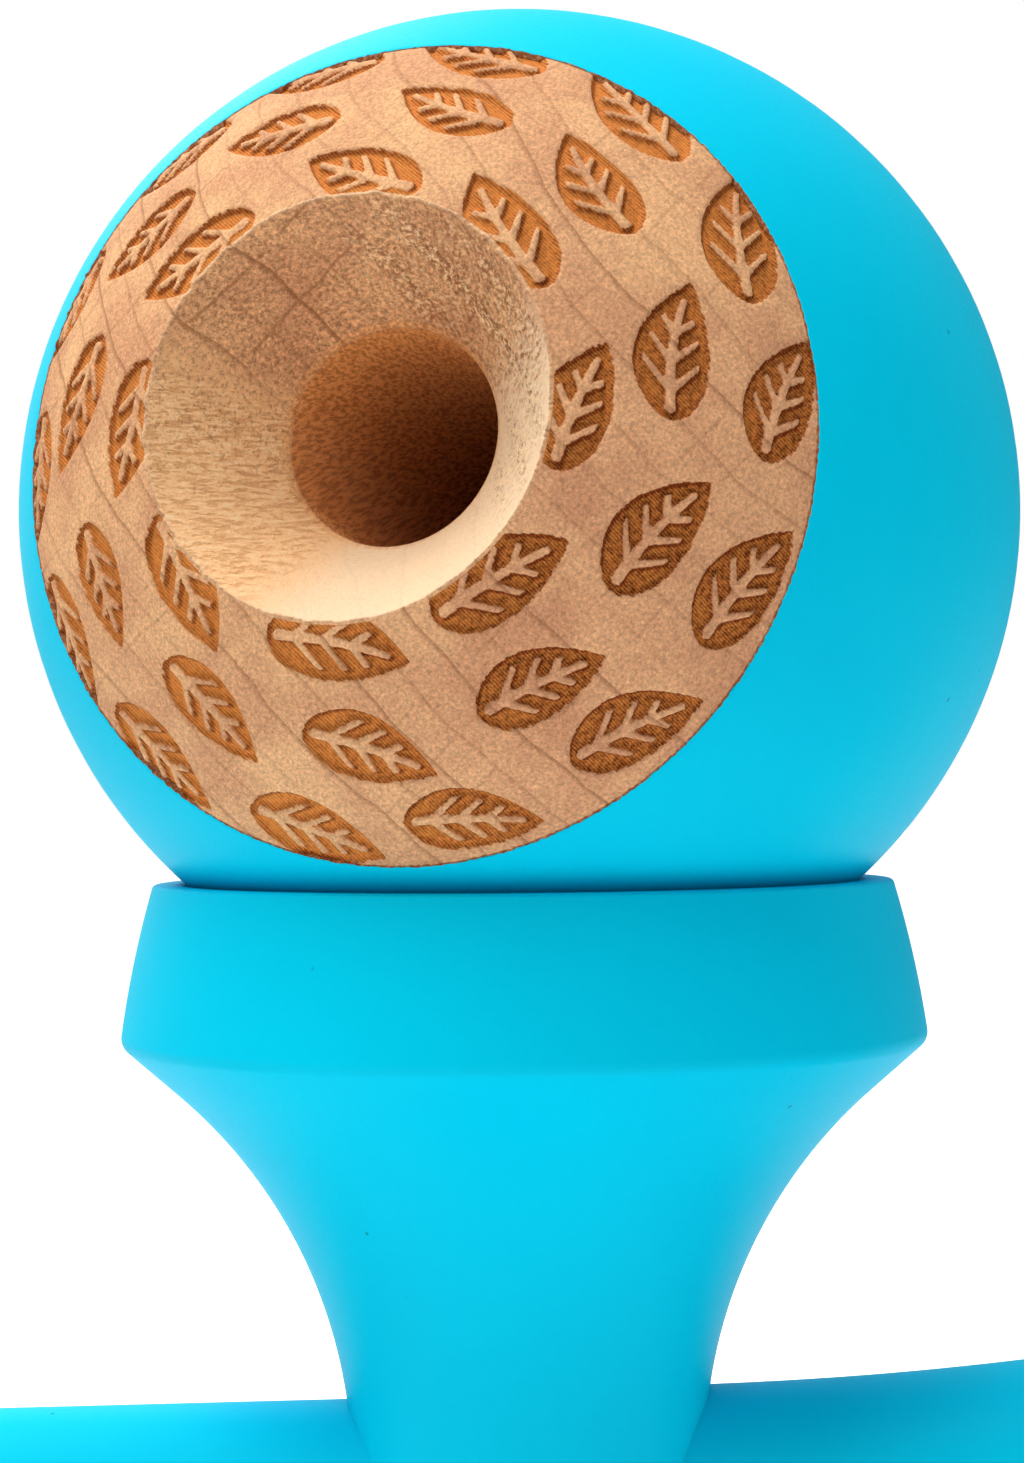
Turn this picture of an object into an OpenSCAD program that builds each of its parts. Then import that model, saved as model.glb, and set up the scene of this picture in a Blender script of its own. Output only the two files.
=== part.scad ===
// Cup and ball toy: a turned handle with a spike, a crosspiece with two cups, and a drilled ball.
// Millimetres, +Z up. The toy stands on its small cup, with the ball in the big cup on top.
// The origin is the centre of the small cup's rim. +X runs along the handle to the base cup.

/* [Ball] */
// Diameter of the ball
ball_d = 60; // [54:0.5:66]
// Diameter of the hole that takes the spike
hole_d = 12.3; // [11:0.1:14]
// Diameter of the bevel where it meets the surface of the ball
bevel_d = 23.4; // [18:0.1:28]
// Depth of the bevel, from its outer circle to the edge of the hole
bevel_depth = 7.1; // [4:0.1:9]
// Wood left behind the floor of the hole, which the bead and the string pass through
back_wall = 16; // [14:0.5:20]
// Turn of the hole from the front towards the spike, in degrees
hole_turn = 21; // [-60:0.5:60]
// Tilt of the hole above level, in degrees
hole_tilt = 8.3; // [-20:0.1:45]

/* [String and bead] */
// Diameter of the string's holes in the ball and the crosspiece
string_hole_d = 2.5; // [1.5:0.1:3.5]
// Diameter of the hole through the handle, wider so that the string passes a small misfit
handle_hole_d = 3.2; // [2:0.1:4]
// Diameter of the bead that holds the string in the ball
bead_d = 9; // [7:0.1:9.5]
// Diameter of the hole through the bead
bead_hole_d = 3; // [2:0.1:4]
// Room left around the bead
bead_clearance = 0.2; // [0.1:0.05:0.4]

/* [Crosspiece] */
// Diameter of the barrel that the handle passes through
neck_d = 21.3; // [19:0.1:26]
// Straight length of the barrel on each side of the handle's axis
barrel_half = 2.1; // [0.5:0.1:4]
// Distance from the handle's axis to the rim of the big cup
big_reach = 37.2; // [32:0.1:44]
// Distance from the handle's axis to the rim of the small cup
small_reach = 36; // [32:0.1:44]
// Outer diameter of the big cup at its rim
big_rim_d = 44.5; // [42:0.1:50]
// Diameter of the big cup's mouth, inside its lip
big_mouth_d = 40.4; // [37:0.1:41]
// Height of the big cup's band, from its rim to its edge
big_band_h = 9.5; // [6:0.1:13]
// Depth of the big cup's bowl
big_bowl_depth = 13; // [12.6:0.1:16]
// Outer diameter of the small cup at its rim
small_rim_d = 41; // [38:0.1:46]
// Diameter of the small cup's mouth, inside its lip
small_mouth_d = 36.8; // [33:0.1:37.5]
// Height of the small cup's band, from its rim to its edge
small_band_h = 8.8; // [6:0.1:13]
// Depth of the small cup's bowl
small_bowl_depth = 12; // [9:0.1:15]

/* [Handle] */
// Gap left between the ball and the barrel when the ball is on the spike
spike_stand_off = 5; // [1:0.5:12]
// Play between the root of the spike and the hole of the ball, on each side
spike_play = 0.2; // [0.1:0.05:0.5]
// Narrowing of the spike, in degrees on each side
spike_taper = 0.8; // [0:0.1:2]
// Length of the rounded nose of the spike
nose_l = 13; // [8:0.5:20]
// Widening of the seat of the crosspiece, in degrees on each side
seat_taper = 1.6; // [0.8:0.1:3]
// Length by which the seat runs past the barrel at each end
seat_overrun = 1; // [0.6:0.1:3]
// Play between the handle and the crosspiece on the seat, on each side
seat_play = 0.02; // [0.01:0.01:0.1]
// Distance from the crosspiece's axis to the thickest part of the grip
belly_l = 64; // [56:0.5:70]
// Diameter of the grip at its thickest part
belly_d = 20.6; // [16:0.1:26]
// Distance from the crosspiece's axis to the waist above the base cup
waist_l = 86; // [78:0.5:90]
// Diameter of the waist
waist_d = 17.2; // [14:0.1:20]
// Distance from the crosspiece's axis to the rim of the base cup
base_l = 105; // [100:0.5:114]
// Outer diameter of the base cup at its rim
base_rim_d = 37.4; // [34:0.1:42]
// Diameter of the base cup's mouth, inside its lip
base_mouth_d = 33.2; // [30:0.1:34]
// Height of the base cup's band, from its rim to its edge
base_band_h = 6.6; // [5:0.1:9]
// Depth of the base cup's bowl
base_bowl_depth = 10.5; // [8:0.1:13]

/* [Edges of the cups] */
// Narrowing of each cup's band towards its rim, in degrees
band_taper = 12; // [2:0.5:20]
// How far a band swells out over its straight line, as a share of its length
band_swell = 0.019; // [0.005:0.001:0.04]
// Radius of the edge between a band and the flare below it
edge_round = 1; // [0.5:0.1:3]
// Share of a flare's turn that its arc takes: the less, the longer its straight end at the edge
flare_share = 0.87; // [0.7:0.01:0.96]
// Radius of the outside of a lip
lip_round = 0.3; // [0.2:0.05:0.8]
// Radius of the inside of a lip, which the ball rests on
seat_round = 0.5; // [0.2:0.05:0.8]
// Gap between the ball and the lip that it rests on
rest_gap = 0.15; // [0.05:0.05:0.3]

/* [Hidden] */
$fn = 96;
// Steps along a long arc, and along a small rounding
long_steps = 14;
small_steps = 5;
// Length by which a cutter runs past the face that it cuts
past = 1;
// Half the angle of a drill's point
point_half = 59;
// How far a curve of the handle keeps its first and last direction, as a share of its length
pull = 0.45;
// Blunt width of the tip of the spike, as a share of the nose's width
blunt = 0.5;

ball_r = ball_d / 2;
bevel_top = sqrt(ball_r ^ 2 - (bevel_d / 2) ^ 2);
bevel_floor = bevel_top - bevel_depth;
hole_floor = back_wall - ball_r;
pocket_r = bead_d / 2 + bead_clearance;
bead_seat = pocket_r / sin(point_half);
pocket_tip = hole_floor - bead_seat - pocket_r;

axis_z = small_reach;
big_rim_z = axis_z + big_reach;
seat_r = big_mouth_d / 2 + seat_round;
ball_z = big_rim_z - seat_round + sqrt((ball_r + seat_round + rest_gap) ^ 2 - seat_r ^ 2);

neck_r = neck_d / 2;
spike_root_r = hole_d / 2 - spike_play;
seat_half = neck_r + seat_overrun;
spike_l = neck_r + spike_stand_off + bevel_top - hole_floor;
nose_start = spike_l - nose_l;
nose_r = spike_root_r - (nose_start - seat_half) * tan(spike_taper);
grip_r = seat_radius(seat_half);

// Radius of the seat at a distance along the handle from the crosspiece's axis
function seat_radius(x) = spike_root_r + (x + seat_half) * tan(seat_taper);

// Points along an arc about c, from angle a to angle b
function arc(c, r, a, b, steps) =
    [for (i = [0:steps]) let (t = a + (b - a) * i / steps) c + r * [cos(t), sin(t)]];

// Points along a curve that leaves a towards b and reaches d from c
function curve(a, b, c, d, steps) =
    [for (i = [0:steps]) let (t = i / steps, u = 1 - t)
        u ^ 3 * a + 3 * u ^ 2 * t * b + 3 * u * t ^ 2 * c + t ^ 3 * d];

// The same points in the other order
function back(points) = [for (i = [len(points) - 1:-1:0]) points[i]];

// The points apart from the first, where the list joins another
function rest_of(points) = [for (i = [1:len(points) - 1]) points[i]];

// Outline of a turned cup, as [radius, height over its neck], from the neck round the lip to the
// middle of the bowl. The flare starts along the axis and runs straight into the edge of the band,
// whose side swells a little between the edge and the rim.
function cup_outline(throat_r, throat_l, rim_r, mouth_r, band_h, bowl_depth) =
    let (
        out = [cos(band_taper), sin(band_taper)],
        rim = [rim_r, throat_l],
        edge = rim + band_h * [tan(band_taper), -1],
        band_l = norm(edge - rim),
        swell = band_l * band_swell,
        band_r = band_l ^ 2 / (8 * swell) + swell / 2,
        band = (rim + edge) / 2 - (band_r - swell) * out,
        spread = edge.x - throat_r,
        lean = flare_share * 2 * atan(spread / edge.y),
        flare_r = (edge.y * sin(lean) - spread * cos(lean)) / (1 - cos(lean)),
        flare = [throat_r + flare_r, 0],
        cone = [sin(lean), cos(lean)],
        start = edge + edge_round * [-cos(lean), sin(lean)] - band,
        run = sqrt((start * cone) ^ 2 - start * start + (band_r - edge_round) ^ 2) - start * cone,
        round_c = band + start + run * cone,
        band_start = atan2(round_c.y - band.y, round_c.x - band.x),
        lip_y = throat_l - lip_round,
        lip_c = [band.x + sqrt((band_r - lip_round) ^ 2 - (lip_y - band.y) ^ 2), lip_y],
        band_end = atan2(lip_c.y - band.y, lip_c.x - band.x),
        inner_c = [mouth_r + seat_round, throat_l - seat_round],
        bowl_r = (inner_c.x ^ 2 + (bowl_depth - seat_round) ^ 2 - seat_round ^ 2) / (2 * bowl_depth),
        bowl = [0, throat_l - bowl_depth + bowl_r],
        bowl_start = atan2(bowl.y - inner_c.y, bowl.x - inner_c.x)
    )
    concat(
        arc(flare, flare_r, 180, 180 - lean, long_steps),
        arc(round_c, edge_round, -lean, band_start, small_steps),
        rest_of(arc(band, band_r, band_start, band_end, small_steps)),
        rest_of(arc(lip_c, lip_round, band_end, 90, small_steps)),
        arc(inner_c, seat_round, 90, bowl_start, small_steps),
        rest_of(arc(bowl, bowl_r, bowl_start - 180, -90, long_steps))
    );

// Outline of the crosspiece, as [radius, height over the handle's axis]
function crosspiece_outline() =
    let (
        big = cup_outline(neck_r, big_reach - barrel_half, big_rim_d / 2, big_mouth_d / 2,
            big_band_h, big_bowl_depth),
        small = cup_outline(neck_r, small_reach - barrel_half, small_rim_d / 2, small_mouth_d / 2,
            small_band_h, small_bowl_depth)
    )
    concat(
        back([for (p = small) [p.x, -barrel_half - p.y]]),
        [for (p = big) [p.x, barrel_half + p.y]]
    );

// Outline of the handle, as [radius, distance along it], from the tip of the spike to the base cup
function handle_outline() =
    let (
        belly_r = belly_d / 2,
        waist_r = waist_d / 2,
        nose_pull = nose_l * pull,
        grip_pull = (belly_l - seat_half) * pull,
        tuck_pull = (waist_l - belly_l) * pull,
        nose = curve(
            [0, -spike_l],
            [nose_r * blunt, -spike_l],
            [nose_r - nose_pull * tan(spike_taper), -nose_start - nose_pull],
            [nose_r, -nose_start],
            long_steps
        ),
        grip = curve(
            [grip_r, seat_half],
            [grip_r + grip_pull * tan(seat_taper), seat_half + grip_pull],
            [belly_r, belly_l - grip_pull],
            [belly_r, belly_l],
            long_steps
        ),
        tuck = curve(
            [belly_r, belly_l],
            [belly_r, belly_l + tuck_pull],
            [waist_r, waist_l - tuck_pull],
            [waist_r, waist_l],
            long_steps
        ),
        base = cup_outline(waist_r, base_l - waist_l, base_rim_d / 2, base_mouth_d / 2,
            base_band_h, base_bowl_depth)
    )
    concat(
        nose,
        [[spike_root_r, -seat_half]],
        grip,
        rest_of(tuck),
        [for (p = rest_of(base)) [p.x, waist_l + p.y]]
    );

// Outline of all that is drilled out of the ball, as [radius, distance from its centre], from the
// string hole at the back through the bead's pocket and the spike's hole to the bevel
function hole_outline() =
    let (
        string_r = string_hole_d / 2,
        hole_r = hole_d / 2,
        bevel_slope = (bevel_d / 2 - hole_r) / bevel_depth,
        back_end = -ball_r - past,
        front_end = ball_r + past
    )
    [
        [0, back_end],
        [string_r, back_end],
        [string_r, pocket_tip + string_r / tan(point_half)],
        [pocket_r, pocket_tip + pocket_r / tan(point_half)],
        [pocket_r, hole_floor],
        [hole_r, hole_floor],
        [hole_r, bevel_floor],
        [hole_r + (front_end - bevel_floor) * bevel_slope, front_end],
        [0, front_end]
    ];

// Places its children with +Z along the hole of the ball, out of its mouth
module along_hole() {
    translate([0, 0, ball_z])
        rotate([0, 90 - hole_tilt, -90 - hole_turn])
            children();
}

// Cross hole for the string, through the barrel or the handle
module string_way(d) {
    translate([0, 0, axis_z])
        rotate([90, 0, 0])
            cylinder(h = neck_d + 2 * past, d = d, center = true);
}

module handle() {
    color("deepskyblue")
        difference() {
            translate([0, 0, axis_z])
                rotate([0, 90, 0])
                    rotate_extrude()
                        polygon(handle_outline());
            string_way(handle_hole_d);
        }
}

module crosspiece() {
    color("deepskyblue")
        difference() {
            translate([0, 0, axis_z])
                rotate_extrude()
                    polygon(crosspiece_outline());
            translate([-seat_half, 0, axis_z])
                rotate([0, 90, 0])
                    cylinder(h = 2 * seat_half, r1 = seat_radius(-seat_half) + seat_play,
                        r2 = seat_radius(seat_half) + seat_play);
            string_way(string_hole_d);
        }
}

module ball() {
    color("deepskyblue")
        along_hole()
            difference() {
                sphere(d = ball_d);
                rotate_extrude()
                    polygon(hole_outline());
            }
}

module string_bead() {
    color("burlywood")
        along_hole()
            translate([0, 0, pocket_tip + bead_seat])
                difference() {
                    sphere(d = bead_d);
                    cylinder(h = bead_d + 2 * past, d = bead_hole_d, center = true);
                }
}

handle();
crosspiece();
ball();
string_bead();
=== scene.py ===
"""Looks of a turned wooden cup and ball toy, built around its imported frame.

Sizes are in millimetres and become metres where a mesh is made. The frame's own axes hold
throughout: the handle lies along X, the crosspiece stands along Z, and the ball sits on top.
"""
import logging
import math
from dataclasses import dataclass
from enum import Enum
from typing import Dict, List, NamedTuple, Optional, Sequence, Tuple, Union

import bpy
import numpy as np
from mathutils import Matrix, Vector, noise


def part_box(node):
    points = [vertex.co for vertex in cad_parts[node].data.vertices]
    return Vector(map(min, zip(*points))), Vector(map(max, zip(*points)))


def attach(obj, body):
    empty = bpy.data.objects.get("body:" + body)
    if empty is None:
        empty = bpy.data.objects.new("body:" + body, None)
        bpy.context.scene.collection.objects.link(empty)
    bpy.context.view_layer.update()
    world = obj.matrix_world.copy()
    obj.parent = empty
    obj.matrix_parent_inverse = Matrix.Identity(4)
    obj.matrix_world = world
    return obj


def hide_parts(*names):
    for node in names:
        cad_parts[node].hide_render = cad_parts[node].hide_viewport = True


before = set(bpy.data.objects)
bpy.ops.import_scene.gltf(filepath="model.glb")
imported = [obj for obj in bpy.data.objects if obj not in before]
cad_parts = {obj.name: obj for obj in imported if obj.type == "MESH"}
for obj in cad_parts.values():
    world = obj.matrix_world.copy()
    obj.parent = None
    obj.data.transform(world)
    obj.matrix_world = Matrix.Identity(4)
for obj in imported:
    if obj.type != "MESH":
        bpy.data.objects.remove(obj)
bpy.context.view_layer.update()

LOG = logging.getLogger("cup_and_ball")

# A millimetre in metres, a full turn, and the bend from which an edge is sharp
MM = 0.001
TURN = 2 * math.pi
CREASE = math.radians(24)

# The seed of every random draw, a distance that counts as far away, and the middle of a noise
SEED = 11
FAR = 5.0
MIDDLE = 0.5

Point = Tuple[float, float]
Way = Tuple[float, float, float]
Colour = Tuple[float, float, float]
Socket = bpy.types.NodeSocket
Value = Union[float, Way, "Wire"]
Level = Union[float, np.ndarray]

WHITE: Colour = (1.0, 1.0, 1.0)
WARM: Colour = (1.0, 0.985, 0.945)
COOL: Colour = (0.82, 0.93, 1.0)


def linear(red: int, green: int, blue: int) -> Colour:
    """Turns a screen colour into the linear colour that shaders use.

    Args:
        red: Red from 0 to 255.
        green: Green from 0 to 255.
        blue: Blue from 0 to 255.

    Returns:
        The colour as three linear values.
    """
    def channel(level: int) -> float:
        """One channel of the colour."""
        share = level / 255
        return share / 12.92 if share <= 0.04045 else ((share + 0.055) / 1.055) ** 2.4

    return channel(red), channel(green), channel(blue)


def smooth_step(low: float, high: float, values: np.ndarray) -> np.ndarray:
    """Rises smoothly from 0 at low to 1 at high.

    Args:
        low: Value at which the rise starts.
        high: Value at which it ends.
        values: Values to map.

    Returns:
        The mapped values.
    """
    share = np.clip((values - low) / (high - low), 0.0, 1.0)
    return share * share * (3 - 2 * share)


def straight(a: Point, b: Point, steps: int) -> List[Point]:
    """Walks along a straight line, both ends included."""
    return [tuple(p + (q - p) * i / steps for p, q in zip(a, b)) for i in range(steps + 1)]


def arc(centre: Point, radius: float, start: float, end: float, steps: int) -> List[Point]:
    """Walks along an arc.

    Args:
        centre: Centre of the arc.
        radius: Radius of the arc.
        start: First angle, in radians.
        end: Last angle, in radians.
        steps: Number of steps.

    Returns:
        The points, both ends included.
    """
    angles = [start + (end - start) * i / steps for i in range(steps + 1)]
    return [(centre[0] + radius * math.cos(a), centre[1] + radius * math.sin(a)) for a in angles]


def curve(a: Point, b: Point, c: Point, d: Point, steps: int) -> List[Point]:
    """Walks along a curve that leaves a towards b and reaches d from c.

    Args:
        a: First point.
        b: Point that the curve leaves towards.
        c: Point that the curve arrives from.
        d: Last point.
        steps: Number of steps.

    Returns:
        The points, both ends included.
    """
    points = []
    for i in range(steps + 1):
        t = i / steps
        u = 1 - t
        weights = (u ** 3, 3 * u * u * t, 3 * u * t * t, t ** 3)
        points.append(tuple(sum(w * p[k] for w, p in zip(weights, (a, b, c, d))) for k in (0, 1)))
    return points


def show(name: str, data: bpy.types.ID) -> bpy.types.Object:
    """Puts a mesh, lamp or camera into the scene as an object.

    Args:
        name: Name of the object.
        data: What the object shows.

    Returns:
        The new object.
    """
    made = bpy.data.objects.new(name, data)
    bpy.context.scene.collection.objects.link(made)
    return made


class Slot(Enum):
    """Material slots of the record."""

    HANDLE = "painted_handle"
    CROSSPIECE = "painted_crosspiece"
    BALL = "painted_ball"
    BEAD = "bead_wood"


class Body(Enum):
    """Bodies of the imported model."""

    ROOT = "handle_and_cups"
    BEAD = "string_bead"
    BALL = "ball"


class Coat(Enum):
    """Which of the ball's two materials a face takes."""

    PAINT = 0
    WOOD = 1


class Depth(Enum):
    """How deep a point of the ball lies in its drilling."""

    FACE = 0.0
    EDGE = 0.5
    BEVEL = 1.0
    MOUTH = 1.5
    HOLE = 2.0


class Field(Enum):
    """What the points of the ball's mesh carry for its wood."""

    LEAF = "leaf"
    VEIN = "vein"
    BRIM = "brim"
    DRILLED = "drilled"
    TORN = "torn"


class Skin:
    """A mesh made of rings of points, each ring joined to the next."""

    def __init__(self) -> None:
        """Starts with no points and no faces."""
        self.points: List[np.ndarray] = []
        self.starts: List[int] = []
        self.sharp: List[bool] = []
        self.faces: List[Tuple[int, ...]] = []
        self.coats: List[int] = []
        self.values: Dict[Field, List[np.ndarray]] = {}

    def add(self, ring: np.ndarray, sharp: bool = False,
            values: Optional[Dict[Field, np.ndarray]] = None) -> int:
        """Adds a ring of points, or a single point for a pole.

        Args:
            ring: The points, in millimetres.
            sharp: Whether the ring is a crease.
            values: What the points carry for the material.

        Returns:
            The number of the ring.
        """
        self.starts.append(sum(len(p) for p in self.points))
        self.points.append(ring)
        self.sharp.append(sharp)
        for key, column in (values or {}).items():
            self.values.setdefault(key, []).append(column)
        return len(self.points) - 1

    def join(self, first: int, second: int, coat: Coat = Coat.PAINT) -> None:
        """Joins two rings by a band of faces.

        The rings have as many points as each other, or one has half as many, or is a pole.

        Args:
            first: Number of the first ring.
            second: Number of the second ring.
            coat: Material of the band.
        """
        a, b = self.starts[first], self.starts[second]
        n, m = len(self.points[first]), len(self.points[second])
        before = len(self.faces)
        for j in range(max(n, m)):
            k = (j + 1) % max(n, m)
            if n == m:
                self.faces.append((a + j, b + j, b + k, a + k))
            elif n == 1:
                self.faces.append((a, b + j, b + k))
            elif m == 1:
                self.faces.append((a + j, b, a + k))
            elif n == 2 * m and j % 2 == 0:
                p, q = b + j // 2, b + (j // 2 + 1) % m
                middle, last = a + j + 1, a + (j + 2) % n
                self.faces += [(a + j, p, middle), (middle, p, q), (middle, q, last)]
            elif m == 2 * n and j % 2 == 0:
                p, q = a + j // 2, a + (j // 2 + 1) % n
                middle, last = b + j + 1, b + (j + 2) % m
                self.faces += [(p, b + j, middle), (p, middle, q), (q, middle, last)]
        self.coats += [coat.value] * (len(self.faces) - before)

    def piece(self, name: str) -> bpy.types.Object:
        """Makes the mesh object.

        Args:
            name: Name of the piece.

        Returns:
            The new object, at the frame's origin.
        """
        mesh = bpy.data.meshes.new(name)
        mesh.from_pydata((np.vstack(self.points) * MM).tolist(), [], self.faces)
        mesh.polygons.foreach_set("material_index", self.coats)
        for key, columns in self.values.items():
            attribute = mesh.attributes.new(key.value, "FLOAT", "POINT")
            attribute.data.foreach_set("value", np.concatenate(columns).astype(np.float32))
        mesh.shade_smooth()
        self._crease(mesh)
        mesh.validate()
        return show(name, mesh)

    def _crease(self, mesh: bpy.types.Mesh) -> None:
        """Marks the edges along the rings that are creases.

        Args:
            mesh: The finished mesh.
        """
        owner = np.repeat(np.arange(len(self.points)), [len(p) for p in self.points])
        ends = np.empty(2 * len(mesh.edges), np.int32)
        mesh.edges.foreach_get("vertices", ends)
        rings = owner[ends.reshape(-1, 2)]
        creased = (rings[:, 0] == rings[:, 1]) & np.array(self.sharp)[rings[:, 0]]
        marks = mesh.attributes.new("sharp_edge", "BOOLEAN", "EDGE")
        marks.data.foreach_set("value", creased)


@dataclass(frozen=True)
class Lathe:
    """A lathe that stands on an axis and turns outlines into skins.

    Attributes:
        centre: Point where the axis starts, in millimetres.
        across: Direction of the first point of each ring.
        along: Direction of the axis.
    """

    centre: Vector
    across: Vector
    along: Vector

    def ring(self, radius: Level, height: Level, count: int) -> np.ndarray:
        """Places the points of one ring.

        Args:
            radius: Radius of the ring, or of each of its points.
            height: Place along the axis of the ring, or of each of its points.
            count: Number of points, or 1 for a pole.

        Returns:
            The points, in millimetres.
        """
        angles = np.arange(count) * TURN / count
        side = np.array(self.along.cross(self.across))
        spokes = np.outer(np.cos(angles), np.array(self.across)) + np.outer(np.sin(angles), side)
        rises = np.outer(np.broadcast_to(height, count), np.array(self.along))
        return np.array(self.centre) + rises + spokes * np.broadcast_to(radius, count)[:, None]

    def turn(self, name: str, outline: Sequence[Point], count: int, looped: bool = False) -> bpy.types.Object:
        """Turns an outline into a closed piece.

        Args:
            name: Name of the piece.
            outline: Points as radius and height, with the wood on the left as they go up.
            count: Number of points round the piece.
            looped: Whether the last point joins the first one.

        Returns:
            The new object.
        """
        skin = Skin()
        total = len(outline)
        for i, (radius, height) in enumerate(outline):
            before, after = outline[i - 1], outline[(i + 1) % total]
            into = math.atan2(height - before[1], radius - before[0])
            out = math.atan2(after[1] - height, after[0] - radius)
            bend = abs((out - into + math.pi) % TURN - math.pi)
            points = self.ring(radius, height, count if radius else 1)
            skin.add(points, sharp=radius > 0 and bend > CREASE)
        for i in range(total if looped else total - 1):
            skin.join((i + 1) % total, i)
        return skin.piece(name)


def carve(piece: bpy.types.Object, cutter: bpy.types.Object) -> None:
    """Cuts one piece by another, which is used up.

    Args:
        piece: Piece that is cut.
        cutter: Closed piece that gives the shape of the cut.
    """
    cut = piece.modifiers.new("cut", "BOOLEAN")
    cut.operation = "DIFFERENCE"
    cut.solver = "EXACT"
    cut.object = cutter
    graph = bpy.context.evaluated_depsgraph_get()
    whole = piece.data
    piece.data = bpy.data.meshes.new_from_object(piece.evaluated_get(graph))
    piece.modifiers.clear()
    piece.data.set_sharp_from_angle(angle=CREASE)
    bpy.data.meshes.remove(whole)
    bpy.data.objects.remove(cutter)


def drill_string_hole(piece: bpy.types.Object, axis_z: float, radius: float, reach: float,
                      count: int = 32) -> None:
    """Drills the hole for the string through a piece, from front to back.

    Args:
        piece: Piece that is drilled.
        axis_z: Height of the hole.
        radius: Radius of the hole.
        reach: How far the drill goes on each side of the middle.
        count: Points round the drill.
    """
    drill = Lathe(Vector((0, 0, axis_z)), Vector((1, 0, 0)), Vector((0, 1, 0)))
    bit = [(0.0, -reach), (radius, -reach), (radius, reach), (0.0, reach)]
    carve(piece, drill.turn("string_drill", bit, count))


def dress(piece: bpy.types.Object, body: Body, node: str, slot: Slot,
          *finishes: bpy.types.Material) -> None:
    """Gives a piece its materials, its body and the frame's node that it stands for.

    Args:
        piece: The finished piece.
        body: Body that it rides on.
        node: Node of the frame that it replaces.
        slot: Slot of the record that its finish belongs to; not used.
        finishes: Its materials, in the order of the face indices.
    """
    for finish in finishes:
        piece.data.materials.append(finish)
    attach(piece, body.value)
    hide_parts(node)
    LOG.info("%s: %d faces, for %s", piece.name, len(piece.data.polygons), node)


class Span(NamedTuple):
    """A smooth change from start to end while a value goes from low to high."""

    low: float
    high: float
    start: float = 0.0
    end: float = 1.0


class Slope(NamedTuple):
    """A straight change: a base, and what is added to it at a value of 1."""

    base: float
    rise: float

    def at(self, value: Level) -> Level:
        """Gives the result for a value."""
        return self.base + self.rise * value


class Grit(NamedTuple):
    """Measures of a noise: waves to a unit, number of finer layers and their weight."""

    scale: float
    detail: float = 2.0
    rough: float = 0.5


class Wire:
    """A value in a node tree, with arithmetic that adds the nodes to work it out."""

    def __init__(self, graph: "Graph", socket: Socket) -> None:
        """Holds a socket of a tree."""
        self.graph = graph
        self.socket = socket

    def __add__(self, other: Value) -> "Wire":
        """Adds a number."""
        return self.graph.math("ADD", self, other)

    def __sub__(self, other: Value) -> "Wire":
        """Takes a number away."""
        return self.graph.math("SUBTRACT", self, other)

    def __rsub__(self, other: float) -> "Wire":
        """Takes the value away from a number."""
        return self.graph.math("SUBTRACT", other, self)

    def __mul__(self, other: Value) -> "Wire":
        """Multiplies by a number."""
        return self.graph.math("MULTIPLY", self, other)

    def __truediv__(self, other: Value) -> "Wire":
        """Divides by a number."""
        return self.graph.math("DIVIDE", self, other)

    def __abs__(self) -> "Wire":
        """Drops the sign."""
        return self.graph.math("ABSOLUTE", self)

    def most(self, other: Value) -> "Wire":
        """Takes the greater of two numbers."""
        return self.graph.math("MAXIMUM", self, other)

    def dot(self, way: Way) -> "Wire":
        """Measures a vector along a direction."""
        return self.graph.vector("DOT_PRODUCT", self, way)

    def slope(self, slope: Slope) -> "Wire":
        """Maps the value along a straight line."""
        return self * slope.rise + slope.base

    def ramp(self, span: Span) -> "Wire":
        """Maps the value smoothly over a span."""
        settings = (self, *span)
        return self.graph.out("ShaderNodeMapRange", 0, settings, interpolation_type="SMOOTHSTEP")

    def mix(self, other: Value, share: Value) -> "Wire":
        """Mixes a colour with a share of another."""
        return self.graph.mix(share, self, other)

    def tinted(self, tint: Value, share: float = 1.0) -> "Wire":
        """Multiplies a colour by a tint, or by a share of it."""
        return self.graph.mix(share, self, tint, "MULTIPLY")


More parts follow.
